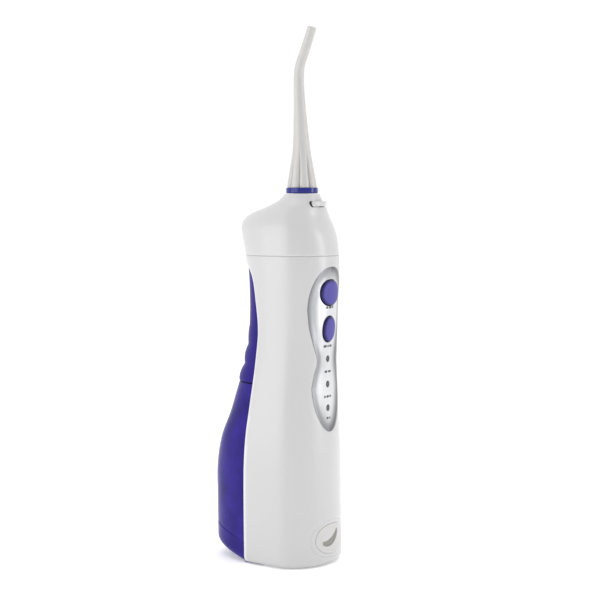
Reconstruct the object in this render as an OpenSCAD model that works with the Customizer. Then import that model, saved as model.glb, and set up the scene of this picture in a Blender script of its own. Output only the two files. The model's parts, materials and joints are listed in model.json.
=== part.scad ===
// Cordless water flosser: a white handle with a pump inside, a blue tank that
// pulls off the back, and a bent nozzle that turns in the neck.
// Millimetres, +Z up, front towards -Y, origin under the middle of the body.

/* [Body] */
// Half-width of the body at its widest, near the base
half_w = 26; // [25:0.5:28]
// How far the body axis (pump, neck and nozzle) lies in front of the origin
axis_front = 16; // [15.5:0.1:16.5]
// Wall thickness of the white shells
wall = 2; // [1.6:0.1:2.2]
// Radius of the round along the bottom edge
base_round = 4; // [2:0.5:5]
// How far the blue parts are set in from the white surface
blue_inset = 0.8; // [0.4:0.1:1.2]
// Height of the seam between the housing and the head cover
seam_z = 167; // [166.5:0.1:167.5]
// Height of the top of the neck
neck_z = 200.2; // [200.1:0.1:200.3]
// Width of the gap along every visible seam
seam_gap = 0.4; // [0.2:0.1:0.5]

/* [Tank] */
// Height of the split between the tank and the grip panel
tank_top = 97.6; // [97:0.1:98]
// Wall thickness of the tank
tank_wall = 1.6; // [1.4:0.1:1.8]
// Half-width of the filling lid
lid_half_w = 9; // [7:0.5:10]
// Radius of the lid's hinge pin
lid_pin_r = 0.8; // [0.6:0.05:0.9]

/* [Controls] */
// Centre height of the upper button
power_z = 147.2; // [146:0.1:148]
// Centre height of the lower button
mode_z = 127.6; // [127:0.1:128.5]
// Radius of an indicator window
lens_r = 1.6; // [1.2:0.1:1.8]

/* [Drive] */
// Module of the gear teeth
gear_module = 0.8; // [0.7:0.05:0.8]
// Teeth on the motor pinion
pinion_teeth = 9; // [9:1:9]
// Teeth on the crank gear
crank_teeth = 33; // [33:1:33]
// Height of the motor axis
motor_z = 113; // [112.5:0.1:113.5]
// Radius of the motor can
motor_r = 11.5; // [10.5:0.5:11.5]
// Distance from the crank axis to the crank pin, half of the piston stroke
crank_r = 3; // [2.9:0.1:3]
// Radius of the piston
piston_r = 4.4; // [4:0.1:4.5]

/* [Nozzle] */
// Radius of the colour ring at the nozzle's base
ring_r = 8.65; // [8.5:0.05:8.8]
// Radius of the spigot that plugs into the neck
spigot_r = 4; // [3.5:0.1:4]
// Height of the nozzle's mouth
tip_z = 288.6; // [285:0.1:292]

/* [Hidden] */

axis_y = -axis_front;
clear = 0.05;              // radial clearance of a running fit
sides = 44;                // facets round the body
$fn = 48;

// Stations of the body's shape: [height, reach from the body axis].
width_at = [[0, half_w - 0.3], [30, half_w], [60, half_w - 0.1], [88, half_w - 1.8],
    [110, half_w - 3.6], [131, half_w - 4.2], [160, half_w - 3.5], [174, half_w - 3.8],
    [182, half_w - 5.1], [188, half_w - 7.6], [193, 15.3], [197.5, 11.2], [200, 9.6], [203, 9]];
front_at = [[0, 20], [30, 19.5], [60, 18.9], [88, 17.8], [118, 17.8], [131, 18.7], [152, 19.4],
    [167, 19], [178, 17.2], [188, 13.1], [193, 11.8], [197.5, 10.3], [200, 9.6], [203, 9]];
rear_at = [[0, 52.8], [30, 53.1], [50, 53], [66, 50], [80, 43.8], [93, 39.2], [105, 35],
    [118, 31.7], [135, 30.3], [150, 30.3], [160, 31], [167, 32], [178, 34.6], [182, 35.6],
    [186, 34.9], [189.5, 30.4], [193, 20.7], [196.2, 13.4], [199.4, 9.8], [203, 9]];
// Edge between white and blue, seen from the side: [height, Y].
edge_at = [[-2, 6], [50, 6], [71, 5.1], [88, 3.2], [98, 2.1], [112, 0.8], [127, -0.3],
    [143, 1.7], [154, 3.9], [160, 8], [164.5, 17]];
// Middle part of the control panel's half-width: [height, half-width].
waist_at = [[97, 13.05], [103, 11.7], [110.5, 9.7], [119.5, 11.9], [128, 14.2], [138, 15.4]];
arch_z = 164.5;            // top of the blue arch
panel_top = 161;
panel_low = 72.5;
indicator_z = [111.6, 97.9, 85.1];
grip_z = 98.1;             // bottom of the grip panel

crank_z = motor_z + gear_module * (pinion_teeth + crank_teeth) / 2;
yoke_y = axis_y - 2.6;     // plane of the yoke and the pump axis
plate_front = axis_y + 5;  // front face of the pump frame's plate
gear_y = axis_y + 4;       // rear face of both gears
gear_w = 4;
crank_pin_r = 1.25;
motor_back = 7.2;          // rear face of the motor can
bay_wall_y = -5.9;         // rear face of the wall in front of the tank
tank_front_y = -5.5;
jack_z = 14.4;
dock_z = 9;
valve_z = 166.4;           // height of the pump's inlet and outlet
board_y = -28.6;           // front face of the control board
lid_low = 66;
lid_high = 86;
lid_hinge_z = 63.6;
base_screws = [[-17, -12], [17, -12], [-8, -28], [8, -28]];
board_screw_x = [-5.5, 5.5];
board_screw_z = [80, 137.4];

// ---------- shape functions ----------

function span_of(table, z, i = 0) =
    (i >= len(table) - 2 || z < table[i + 1][0]) ? i : span_of(table, z, i + 1);
function slope_at(table, i) =
    let (a = max(i - 1, 0), b = min(i + 1, len(table) - 1))
    (table[b][1] - table[a][1]) / (table[b][0] - table[a][0]);
// Smooth curve through a table of [height, value] pairs.
function curve(table, z) =
    let (c = min(max(z, table[0][0]), table[len(table) - 1][0]),
         i = span_of(table, c),
         h = table[i + 1][0] - table[i][0],
         u = (c - table[i][0]) / h)
    (2 * pow(u, 3) - 3 * pow(u, 2) + 1) * table[i][1]
    + (pow(u, 3) - 2 * pow(u, 2) + u) * h * slope_at(table, i)
    + (3 * pow(u, 2) - 2 * pow(u, 3)) * table[i + 1][1]
    + (pow(u, 3) - pow(u, 2)) * h * slope_at(table, i + 1);

function sign_pow(v, p) = sign(v) * pow(abs(v), p);
// The rear half is squarer than the front, and turns round towards the neck.
function rear_power(z) = z < 182 ? 2.4 : max(2, 2.4 - 0.04 * (z - 182));
// Inset that rounds the bottom edge.
function foot_inset(z) =
    z >= base_round ? 0 : base_round - sqrt(pow(base_round, 2) - pow(base_round - max(z, 0), 2));
// Three finger ridges on the grip, lower ones prouder.
function ridge(z) =
    let (wave = pow(cos(180 * (z - 102) / 11), 2))
    (z < 96.5 || z > 129.5) ? 0 : wave * (z < 107.5 ? 1.7 : z < 118.5 ? 1.6 : 0.8);
function body_point(z, angle, inset, ridged) =
    let (power = sin(angle) > 0 ? rear_power(z) : 2,
         reach = sin(angle) > 0 ? curve(rear_at, z) : curve(front_at, z),
         grow = ridged && sin(angle) > 0 ? ridge(z) * pow(sin(angle), 3) : 0)
    [(curve(width_at, z) - inset) * sign_pow(cos(angle), 2 / power),
     axis_y + (reach - inset + grow) * sign_pow(sin(angle), 2 / power),
     z];
function body_ring(z, inset, ridged = false) =
    [for (i = [0 : sides - 1]) body_point(z, 360 * i / sides, inset, ridged)];
// Half-width of the white shell where the blue starts.
function mouth_half_w(z) =
    let (back = curve(edge_at, z) - axis_y)
    curve(width_at, z) * pow(1 - pow(back / curve(rear_at, z), rear_power(z)), 1 / rear_power(z));
function front_y(z) = axis_y - curve(front_at, z);
function rear_y(z) = axis_y + curve(rear_at, z);
function panel_half_w(z) =
    z > 138 ? 15.4 * pow(max(0, 1 - pow((z - 138) / (panel_top - 138), 2.3)), 1 / 2.3)
    : z < 97 ? 13.05 * sqrt(max(0, 1 - pow((97 - z) / (97 - panel_low), 2)))
    : curve(waist_at, z);

// ---------- shared shapes ----------

// Closed solid through a list of rings, each counterclockwise seen from its end side.
module skin(rings) {
    n = len(rings[0]);
    m = len(rings);
    points = [for (r = rings) for (p = r) p];
    walls = [for (i = [0 : m - 2]) for (j = [0 : n - 1]) for (t = [0, 1])
        let (p = i * n + j, q = i * n + (j + 1) % n)
        t == 0 ? [p, p + n, q + n] : [p, q + n, q]];
    ends = [[for (j = [0 : n - 1]) j], [for (j = [n - 1 : -1 : 0]) (m - 1) * n + j]];
    polyhedron(points, concat(ends, walls), convexity = 8);
}

// The body's outer form between two heights, set in by inset.
module body_form(heights, inset, ridged = false) {
    skin([for (z = heights) body_ring(z, inset, ridged)]);
}

// The same with the bottom edge rounded.
module footed_form(heights, inset) {
    skin([for (z = heights) body_ring(z, max(inset, foot_inset(z)))]);
}

// Everything behind the white/blue edge, moved away from it by gap.
module behind_edge(gap) {
    heights = [-2, 30, 50, 60, 71, 80, 88, 98, 105, 112, 120, 127, 135, 143, 149, 154, 157, 160,
        162, 163.5, arch_z];
    edge = [for (z = heights) [curve(edge_at, z) + gap, z - (z > 150 ? gap * (z - 150) / 14 : 0)]];
    top = edge[len(edge) - 1][1];
    rotate([90, 0, 90])
        linear_extrude(height = 90, center = true)
            polygon(concat(edge, [[70, top], [70, -2]]));
}

// Slot-shaped or oval block that runs along Y.
module y_oval(half_x, half_z, z, y_low, y_high) {
    translate([0, y_high, z])
        rotate([90, 0, 0])
            linear_extrude(height = y_high - y_low)
                polygon([for (a = [0 : 10 : 350])
                    [half_x * sign_pow(cos(a), 0.9), half_z * sign_pow(sin(a), 0.9)]]);
}

module y_rod(r, y_low, y_high, x = 0, z = 0) {
    translate([x, y_high, z]) rotate([90, 0, 0]) cylinder(h = y_high - y_low, r = r);
}

module x_rod(r, x_low, x_high, y, z) {
    translate([x_low, y, z]) rotate([0, 90, 0]) cylinder(h = x_high - x_low, r = r);
}

module z_tube(outer, inner, low, high, y = axis_y) {
    translate([0, y, low])
        difference() {
            cylinder(h = high - low, r = outer);
            translate([0, 0, -1]) cylinder(h = high - low + 2, r = inner);
        }
}

// Block along Y with the control panel's outline, grown by grow.
module panel_block(grow, y_low, y_high) {
    count = 22;
    half = [for (i = [0 : count])
        let (z = panel_low + (panel_top - panel_low) * (1 - cos(180 * i / count)) / 2)
        [panel_half_w(z), z]];
    right = [for (p = half) [p[0] + grow * (p[0] > 1 ? 1 : 0), p[1] + grow * (p[1] - 116) / 50]];
    left = [for (i = [count - 1 : -1 : 1]) [-right[i][0], right[i][1]]];
    translate([0, y_high, 0])
        rotate([90, 0, 0])
            linear_extrude(height = y_high - y_low)
                polygon(concat(right, left));
}

hinge_y = rear_y(lid_hinge_z) - 2.2;

function unit(v) = v / norm(v);
// Rings of a round tube along a path; side is a direction the path never follows.
function tube_rings(path, radius, count, side) =
    [for (i = [0 : len(path) - 1])
        let (ahead = unit(path[min(i + 1, len(path) - 1)] - path[max(i - 1, 0)]),
             across = unit(cross(side, ahead)),
             up = cross(ahead, across),
             r = is_list(radius) ? radius[i] : radius)
        [for (k = [0 : count - 1])
            path[i] + r * (cos(360 * k / count) * across + sin(360 * k / count) * up)]];
// Smooth path through hand-set points, steps pieces between each two.
function smooth_path(points, steps) =
    let (n = len(points))
    concat([for (i = [0 : n - 2]) for (s = [0 : steps - 1])
        let (u = s / steps,
             p0 = points[max(i - 1, 0)],
             p1 = points[i],
             p2 = points[i + 1],
             p3 = points[min(i + 2, n - 1)])
        0.5 * ((2 * p1) + (p2 - p0) * u + (2 * p0 - 5 * p1 + 4 * p2 - p3) * u * u
            + (3 * p1 - p0 - 3 * p2 + p3) * u * u * u)],
        [points[n - 1]]);
// Coil spring along +Z from the origin.
module coil(r, wire_r, height, turns) {
    per_turn = 12;
    path = [for (i = [0 : turns * per_turn])
        [r * cos(360 * i / per_turn), r * sin(360 * i / per_turn),
         wire_r + (height - 2 * wire_r) * i / (turns * per_turn)]];
    skin(tube_rings(path, wire_r, 6, [0, 0, 1]));
}
module hose(points, outer, inner, side) {
    path = smooth_path(points, 2);
    last = len(path) - 1;
    // The bore runs a little past both ends.
    bore = [for (i = [0 : last])
        i == 0 ? path[0] - 0.2 * unit(path[1] - path[0])
        : i == last ? path[last] + 0.2 * unit(path[last] - path[last - 1]) : path[i]];
    resize([0, 0, 0])
        difference() {
            skin(tube_rings(path, outer, 12, side));
            skin(tube_rings(bore, inner, 8, side));
        }
}

// Gear on a Y axis, one tooth pointing up. Teeth are thinned for running clearance.
module gear(teeth, bore_r, width) {
    pitch = gear_module * teeth / 2;
    tip = pitch + 0.8 * gear_module;
    root = pitch - 1.2 * gear_module;
    step = 360 / teeth;
    outline = [for (i = [0 : teeth - 1]) for (c = [[root, -0.29], [tip, -0.1], [tip, 0.1], [root, 0.29]])
        let (a = 90 + step * (i + c[1]))
        [c[0] * cos(a), c[0] * sin(a)]];
    rotate([90, 0, 0])
        difference() {
            linear_extrude(height = width) polygon(outline);
            translate([0, 0, -1]) cylinder(h = width + 2, r = bore_r);
        }
}

// Screw whose head's underside is at the origin and whose shank points along -Z.
module screw(shank_r, length, head_r, head_h) {
    difference() {
        union() {
            translate([0, 0, -length]) cylinder(h = length + 0.01, r = shank_r);
            cylinder(h = head_h, r = head_r);
        }
        translate([0, 0, head_h]) cube([0.5, 3 * head_r, 0.9], center = true);
        translate([0, 0, head_h]) cube([3 * head_r, 0.5, 0.9], center = true);
    }
}

// ---------- casing ----------

low_heights = [-0.01, 0.3, 0.8, 1.5, 2.6, 4, 16, 30, 44, 56, 66, 76, 88, 98, 108, 118, 128, 138, 148, 158];
inner_heights = [-1, 20, 44, 62, 76, 88, 100, 112, 124, 136, 148, 158, seam_z + 1];
button_half = [[8.2, 6.9, power_z], [5.5, 6.9, mode_z]];

module front_housing() {
    color("#dcdbdc")
        resize([0, 0, 0])
            difference() {
                union() {
                    difference() {
                        footed_form(concat(low_heights, [seam_z - seam_gap / 2]), 0);
                        body_form(inner_heights, wall);
                    }
                    // Posts for the control board.
                    for (x = board_screw_x)
                        for (z = board_screw_z)
                            difference() {
                                y_rod(1.9, -32, board_y, x, z, $fn = 16);
                                y_rod(1.08, -31, board_y + 1, x, z, $fn = 16);
                            }
                    // Seat behind the control panel.
                    intersection() {
                        difference() {
                            body_form([66, 88, 110, 131, 150, seam_z - 1], 1.75);
                            body_form([64, 88, 110, 131, 150, seam_z], 3.1);
                        }
                        panel_block(2.2, -40, -17);
                    }
                }
                behind_edge(0);
                // Pocket that the panel lies in.
                difference() {
                    panel_block(0.15, -45, -17);
                    body_form([64, 76, 88, 98, 108, 118, 128, 138, 148, 158, 168], 1.75);
                }
                for (b = button_half) y_oval(b[0] + 0.3, b[1] + 0.3, b[2], -45, -20);
                for (z = indicator_z) y_rod(lens_r + 0.12, -45, -20, 0, z, $fn = 20);
                // Pocket and opening of the charging port.
                difference() {
                    y_oval(13.2, 8.6, jack_z, -45, -20);
                    body_form([0, 8, 16, 24, 32], 1.3);
                }
                y_oval(8.2, 5.1, jack_z, -45, -20);
            }
}

// Wall between the tank and the works, with a roof over the tank.
module rear_housing() {
    color("#c9c9cb")
        resize([0, 0, 0])
            difference() {
                union() {
                    intersection() {
                        body_form([-1, 16, 30, 44, 56, 66, 76, 88, 102], wall + 0.35);
                        translate([-40, bay_wall_y - 1.5, 3.2]) cube([80, 1.5, 96.6]);
                    }
                    intersection() {
                        body_form([90, 98, 106], wall + 2);
                        translate([-40, bay_wall_y - 0.5, 98.3]) cube([80, 18.5, 1.5]);
                    }
                }
                y_rod(3.4, -20, 10, 0, dock_z, $fn = 24);
            }
}

module head_cover() {
    heights = [seam_z + seam_gap / 2, 172, 176, 179.5, 182, 184, 186, 188, 190, 192, 194, 196, 198,
        199.2, neck_z];
    color("#dcdbdc")
        resize([0, 0, 0])
            difference() {
                body_form(heights, 0);
                body_form([seam_z - 1, 172, 176, 180, 183, 185.5, 188, 190.5, 193, 195.5, 198], wall);
                translate([0, axis_y, 190]) cylinder(h = 20, r = 8.5, $fn = 36);
                // Slot for the release button.
                translate([-7.4, -40, 193]) cube([14.8, 18, 3.4]);
            }
}

module head_seal() {
    color("#b8b8ba")
        resize([0, 0, 0])
            difference() {
                body_form([seam_z - seam_gap / 2, seam_z + seam_gap / 2], 0.9);
                body_form([seam_z - 1, seam_z + 1], wall + 0.6);
            }
}

module grip_panel() {
    ridge_heights = [for (i = [0 : 16]) grip_z + i * (130 - grip_z) / 16];
    high = [137, 144, 151, 158, 162, arch_z + 1];
    color("#3a3560")
        resize([0, 0, 0])
            difference() {
                union() {
                    intersection() {
                        body_form(concat(ridge_heights, high), blue_inset, true);
                        behind_edge(0.35);
                    }
                    // Lip that hooks behind the white shell.
                    intersection() {
                        body_form([grip_z + 0.05, 108, 118, 130, 144, 151, 158, 163], wall + 0.4);
                        behind_edge(-2.5);
                    }
                }
                body_form([grip_z - 1.5, 108.5, 118.5, 130.5, 144.5, 151.5, 158.5, arch_z + 1], wall + 1.5);
            }
}

// Plate that closes the works from below.
module base_cover() {
    color("#cfcfd1")
        difference() {
            resize([0, 0, 0])
                intersection() {
                    footed_form([0, 0.3, 0.6, 1, 3.1], wall + 0.4);
                    translate([-40, -60, -1]) cube([80, 60 + bay_wall_y, 6]);
                }
            for (p = base_screws) {
                translate([p[0], p[1], -1]) cylinder(h = 6, r = 1.35);
                translate([p[0], p[1], -1]) cylinder(h = 2.5, r = 2.6);
            }
        }
}

// ---------- controls ----------

module control_panel() {
    heights = [68, 76, 84, 92, 100, 108, 116, 124, 132, 141.5, 149, 156, 164];
    color("#c9cacc")
        resize([0, 0, 0])
            difference() {
                intersection() {
                    difference() {
                        body_form(heights, 0.5);
                        body_form([for (z = heights) z + (z < 100 ? -2 : 2)], 1.65);
                    }
                    panel_block(0, -45, -17);
                }
                for (b = button_half) y_oval(b[0] + 0.3, b[1] + 0.3, b[2], -45, -20);
                for (z = indicator_z) y_rod(lens_r + 0.12, -45, -20, 0, z, $fn = 20);
            }
}

module indicator_lenses() {
    color("#55565c")
        for (z = indicator_z)
            y_rod(lens_r, front_y(z) + 0.35, front_y(z) + 2.6, 0, z);
}

// Button cap that follows the body's curve; shape is [half-width, half-height, height].
module button_cap(shape) {
    z = shape[2];
    heights = [for (i = [-4 : 4]) z + i * 2.2];
    union() {
        resize([0, 0, 0])
            intersection() {
                difference() {
                    body_form(heights, -0.25);
                    body_form([for (h = [-9.5, -3, 3, 9.5]) z + h], 2.3);
                }
                y_oval(shape[0], shape[1], z, -45, -20);
            }
        y_rod(1.3, front_y(z) + 2, -31.9, 0, z);
    }
}
module power_button() {
    color("#5a5ca0") button_cap(button_half[0]);
}
module mode_button() {
    color("#5a5ca0") button_cap(button_half[1]);
}
module power_plunger() {
    color("#202022") y_rod(0.9, -31.9, -29.4, 0, power_z);
}
module mode_plunger() {
    color("#202022") y_rod(0.9, -31.9, -29.4, 0, mode_z);
}

module tact_switches() {
    color("#2c2c30")
        for (z = [power_z, mode_z])
            difference() {
                translate([-3, board_y - 2.2, z - 3]) cube([6, 2.2, 6]);
                y_rod(0.9 + clear, board_y - 3, board_y - 0.1, 0, z);
            }
}

module leds() {
    color("#9fc0ff")
        for (z = indicator_z) y_rod(1.1, board_y - 2, board_y, 0, z);
}

module control_board() {
    color("#2f6a4a")
        difference() {
            translate([-8, board_y, 76]) cube([16, 1.2, 80]);
            for (x = board_screw_x)
                for (z = board_screw_z) y_rod(1.1, board_y - 1, board_y + 3, x, z);
        }
}

module board_screws() {
    color("#b0b0b4")
        for (x = board_screw_x)
            for (z = board_screw_z)
                translate([x, board_y + 1.2, z]) rotate([-90, 0, 0]) screw(1, 2.6, 1.8, 0.9);
}

// ---------- charging port ----------

module port_cover() {
    color("#d4d4d6")
        resize([0, 0, 0])
            union() {
                intersection() {
                    difference() {
                        body_form([4, 8, 12, 16, 20, 24], -0.25);
                        body_form([3, 8, 16, 25], 1);
                    }
                    y_oval(12.7, 7.7, jack_z, -45, -20);
                }
                intersection() {
                    difference() {
                        body_form([4, 12, 20, 24], 0.9);
                        body_form([3, 8, 16, 25], 2.6);
                    }
                    y_oval(7.4, 4.2, jack_z, -45, -20);
                }
            }
}

module charging_jack() {
    color("#232326")
        difference() {
            union() {
                translate([-4.5, -32.4, jack_z - 4]) cube([9, 12, 8]);
                translate([-7, -27, jack_z - 5.5]) cube([14, 2, 11]);
            }
            y_rod(1.8, -34, -23.4, 0, jack_z);
        }
}

// ---------- tank ----------

tank_heights = [0, 0.3, 0.8, 1.5, 2.6, 4, 10, 16, 23, 30, 37, 44, 56, 64, 72, 80, 90, tank_top];

// Rounded block of the tank that nests inside the white shell.
module tank_nose(inset, low, high) {
    heights = [low, 20, 50, 66, 80, high];
    skin([for (z = heights)
        let (w = mouth_half_w(z) - wall - 0.45 - inset,
             y_front = tank_front_y + inset,
             y_rear = curve(edge_at, z) + 6,
             r = 3)
        concat(
            [for (a = [0 : 30 : 90]) [w - r + r * cos(a), y_rear - r + r * sin(a), z]],
            [for (a = [90 : 30 : 180]) [-w + r + r * cos(a), y_rear - r + r * sin(a), z]],
            [for (a = [180 : 30 : 270]) [-w + r + r * cos(a), y_front + r + r * sin(a), z]],
            [for (a = [270 : 30 : 360]) [w - r + r * cos(a), y_front + r + r * sin(a), z]])]);
}

// The tank's underside rises towards the back, and this much of the slope is left at a height.
tank_slope = 0.25;
tank_slope_y = 6;
function slope_left(z) = z < 14 ? 1 : z > 56 ? 0 : (1 + cos(180 * (z - 14) / 42)) / 2;
function tilted(ring, z) =
    [for (p = ring) p + [0, 0, tank_slope * slope_left(z) * (p[1] - tank_slope_y)]];

module lid_block(grow) {
    translate([0, 50, (lid_low + lid_high) / 2])
        rotate([90, 0, 0])
            linear_extrude(height = 42)
                polygon([for (a = [0 : 15 : 345])
                    [(lid_half_w + grow) * sign_pow(cos(a), 0.5),
                     ((lid_high - lid_low) / 2 + grow) * sign_pow(sin(a), 0.5)]]);
}

module water_tank() {
    color("#453f9c")
        resize([0, 0, 0])
            difference() {
                union() {
                    intersection() {
                        skin([for (z = tank_heights)
                            tilted(body_ring(z, max(blue_inset, 0.6 + foot_inset(z))), z)]);
                        behind_edge(0.35);
                    }
                    tank_nose(0, 0, tank_top);
                }
                // Room for the water, with a boss left inside it round the lid's hinge.
                difference() {
                    union() {
                        intersection() {
                            skin([for (z = [2.4, 4, 16, 30, 44, 56, 64, 72, 80, 88, tank_top - tank_wall])
                                tilted(body_ring(z, blue_inset + tank_wall + 0.8), z)]);
                            behind_edge(0.35 + tank_wall);
                        }
                        tank_nose(tank_wall, 2, tank_top - tank_wall);
                    }
                    x_rod(3.2, -8.5, 8.5, hinge_y, lid_hinge_z, $fn = 24);
                }
                lid_block(0.35);
                // Opening for the outlet and slot for the lid's hinge.
                y_rod(5.05, -10, 0, 0, dock_z, $fn = 32);
                x_rod(1.65, -4.9, 4.9, hinge_y, lid_hinge_z, $fn = 24);
                translate([-4.6, hinge_y - 1.1, lid_hinge_z]) cube([9.2, 12, 3]);
                x_rod(lid_pin_r + 0.03, -6.9, 6.9, hinge_y, lid_hinge_z, $fn = 24);
            }
}

module tank_lid() {
    color("#4a44a4")
        difference() {
            union() {
                resize([0, 0, 0])
                    intersection() {
                        difference() {
                            body_form([62, 66, 70, 74, 78, 82, 86, 90], blue_inset - 0.1);
                            body_form([60, 68, 76, 84, 92], blue_inset + 1.5);
                        }
                        lid_block(0);
                    }
                x_rod(1.35, -4.6, 4.6, hinge_y, lid_hinge_z);
                translate([-4.2, hinge_y - 0.6, lid_hinge_z]) cube([8.4, 1.4, 3.4]);
            }
            x_rod(lid_pin_r + clear, -12, 12, hinge_y, lid_hinge_z);
        }
}

module lid_pin() {
    color("#c0c0c4") x_rod(lid_pin_r, -6.6, 6.6, hinge_y, lid_hinge_z);
}

module lid_seal() {
    color("#35353a")
        resize([0, 0, 0])
            intersection() {
                difference() {
                    body_form([60, 68, 76, 84, 92], blue_inset + 1.5);
                    body_form([58, 68, 76, 84, 94], blue_inset + 2.5);
                }
                difference() {
                    lid_block(-1.2);
                    lid_block(-2.6);
                }
            }
}

// Rubber grommet in the tank's front wall, and the strainer behind it.
module tank_outlet() {
    color("#2b2b30")
        difference() {
            y_rod(5, tank_front_y, tank_front_y + 5, 0, dock_z);
            y_rod(2.3, tank_front_y - 1, tank_front_y + 6, 0, dock_z);
        }
}
module intake_filter() {
    color("#d8d8d8")
        difference() {
            y_rod(4.6, tank_front_y + 5, tank_front_y + 9, 0, dock_z);
            y_rod(3.8, tank_front_y + 4, tank_front_y + 8, 0, dock_z);
            for (a = [0 : 60 : 300])
                y_rod(0.6, tank_front_y + 7, tank_front_y + 10, 2.2 * cos(a), dock_z + 2.2 * sin(a));
        }
}

// ---------- water path in the handle ----------

module docking_port() {
    color("#e8e8ea")
        difference() {
            union() {
                y_rod(2.2, -9, tank_front_y + 4, 0, dock_z);
                y_rod(3, -9, bay_wall_y - 0.1, 0, dock_z);
                translate([-4, -13, dock_z - 4]) cube([8, 5, 8]);
                x_rod(1.1, -8, -3.9, -10.5, dock_z);
            }
            y_rod(0.9, -10.5, 2, 0, dock_z);
            x_rod(0.7, -10, 0, -10.5, dock_z);
        }
}

suction_route = [[-4.1, -10.5, 9], [-9, -10.5, 9], [-13, -11, 10.8], [-17, -13, 16], [-18.6, -15, 25],
    [-18.6, -17, 45], [-18.6, -18, 70], [-17.4, -19.2, 95], [-16.6, -19.6, 115], [-16.4, -19.6, 138],
    [-16.4, -19, 154], [-16, -18.7, 161], [-14, -18.6, 165.6], [-11.5, -18.6, valve_z],
    [-9, -18.6, valve_z]];
module suction_hose() {
    color("#dfe4e6") hose(suction_route, 2, 1.35, [0, 1, 0]);
}

pressure_route = [[9, -18.6, valve_z], [11.5, -18.6, valve_z], [14.2, -18, 168], [15.4, -17.3, 171.4],
    [14.2, -16.5, 174.8], [11.5, -16, 176.4], [6.9, -16, 176.4]];
module pressure_hose() {
    color("#dfe4e6") hose(pressure_route, 2, 1.35, [0, 1, 0]);
}

module hose_fittings() {
    color("#e8e8ea")
        for (s = [-1, 1])
            difference() {
                union() {
                    x_rod(2.25, s > 0 ? 5.5 : -8.5, s > 0 ? 8.5 : -5.5, yoke_y, valve_z);
                    x_rod(1.1, s > 0 ? 8.4 : -11.5, s > 0 ? 11.5 : -8.4, yoke_y, valve_z);
                }
                x_rod(0.7, -20, 20, yoke_y, valve_z);
            }
}

module pump_head() {
    color("#e2e2e4")
        difference() {
            translate([-8.5, yoke_y - 6.5, 163]) cube([17, 13, 6.6]);
            for (s = [-1, 1]) x_rod(2.3, s > 0 ? 2.2 : -9, s > 0 ? 9 : -2.2, yoke_y, valve_z);
            x_rod(0.9, -4, 4, yoke_y, valve_z);
            translate([0, yoke_y, 162]) cylinder(h = 4.4, r = 0.9);
        }
}

// Check valves: balls that springs hold against the inlet fitting and the outlet port.
inlet_ball_x = -4.38;
outlet_ball_x = 3.16;
module valve_ball(x) {
    color("#cfcfd4") translate([x, yoke_y, valve_z]) sphere(r = 1.3);
}
module valve_spring(x) {
    color("#a8a8ae") translate([x, yoke_y, valve_z]) rotate([0, 90, 0]) coil(0.8, 0.12, 0.82, 1);
}
module inlet_valve() {
    valve_ball(inlet_ball_x);
}
module outlet_valve() {
    valve_ball(outlet_ball_x);
}
module inlet_spring() {
    valve_spring(-3.05);
}
module outlet_spring() {
    valve_spring(4.6);
}

module pump_cylinder() {
    color("#d9dadd")
        translate([0, yoke_y, 0])
            difference() {
                union() {
                    translate([0, 0, 144.2]) cylinder(h = 18.8, r = 6);
                    translate([-8.5, -3, 150]) cube([17, 10.6, 3]);
                }
                translate([0, 0, 146.6]) cylinder(h = 18, r = piston_r + 0.1);
                translate([0, 0, 142]) cylinder(h = 6, r = 2 + clear);
            }
}

// Half-sizes of the window that the crank pin moves in.
window_x = crank_r + crank_pin_r + 0.15;
window_z = 2 * crank_r + crank_pin_r + 0.15;

module piston_yoke() {
    color("#c8ccd0")
        union() {
            difference() {
                translate([-window_x - 2.2, yoke_y - 2, crank_z - window_z - 2.2])
                    cube([2 * window_x + 4.4, 4, 2 * window_z + 4.4]);
                translate([-window_x, yoke_y - 3, crank_z - window_z])
                    cube([2 * window_x, 6, 2 * window_z]);
            }
            translate([0, yoke_y, crank_z + window_z + 1]) cylinder(h = 149 - crank_z - window_z, r = 2);
        }
}

module piston_head() {
    color("#ececee")
        translate([0, yoke_y, 150])
            difference() {
                cylinder(h = 6, r = piston_r);
                difference() {
                    translate([0, 0, 2]) cylinder(h = 2, r = 6);
                    cylinder(h = 6, r = 3.4);
                }
            }
}

module piston_seal() {
    color("#222226")
        z_tube(piston_r + clear, 3.4, 152, 154, yoke_y);
}

// ---------- drive ----------

// Upright plate that carries the motor, the gear axle and the pump.
module pump_frame() {
    color("#bfc2c6")
        difference() {
            union() {
                translate([-13, plate_front, 101]) cube([26, 2, 64]);
                translate([-10, plate_front - 12.9, 170]) cube([20, 21, 1.6]);
                translate([-10, plate_front, 164]) cube([20, 2, 7]);
            }
            y_rod(4.2, plate_front - 1, plate_front + 3, 0, motor_z);
            y_rod(1.5, plate_front - 1, plate_front + 3, 0, crank_z);
            for (x = [-8, 8]) y_rod(1.05, plate_front - 1, plate_front + 3, x, motor_z);
        }
}

module motor_can() {
    color("#8f9296")
        difference() {
            y_rod(motor_r, plate_front + 2, motor_back, 0, motor_z);
            y_rod(1 + clear, plate_front + 1, motor_back + 1, 0, motor_z);
            for (x = [-8, 8]) y_rod(1.05, plate_front + 1, plate_front + 7, x, motor_z);
        }
}
module motor_end_bell() {
    color("#2a2a2d")
        difference() {
            union() {
                y_rod(motor_r - 0.5, motor_back, motor_back + 1.2, 0, motor_z);
                for (x = [-6, 6]) translate([x - 1, motor_back + 1.1, motor_z - 2]) cube([2, 0.6, 4]);
            }
            y_rod(1 + clear, motor_back - 1, motor_back + 0.6, 0, motor_z);
        }
}
module motor_shaft() {
    color("#b9bcc0") y_rod(1, gear_y - gear_w - 0.2, motor_back + 0.5, 0, motor_z);
}
module drive_pinion() {
    color("#d8b25a") translate([0, gear_y, motor_z]) gear(pinion_teeth, 1, gear_w);
}
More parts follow.
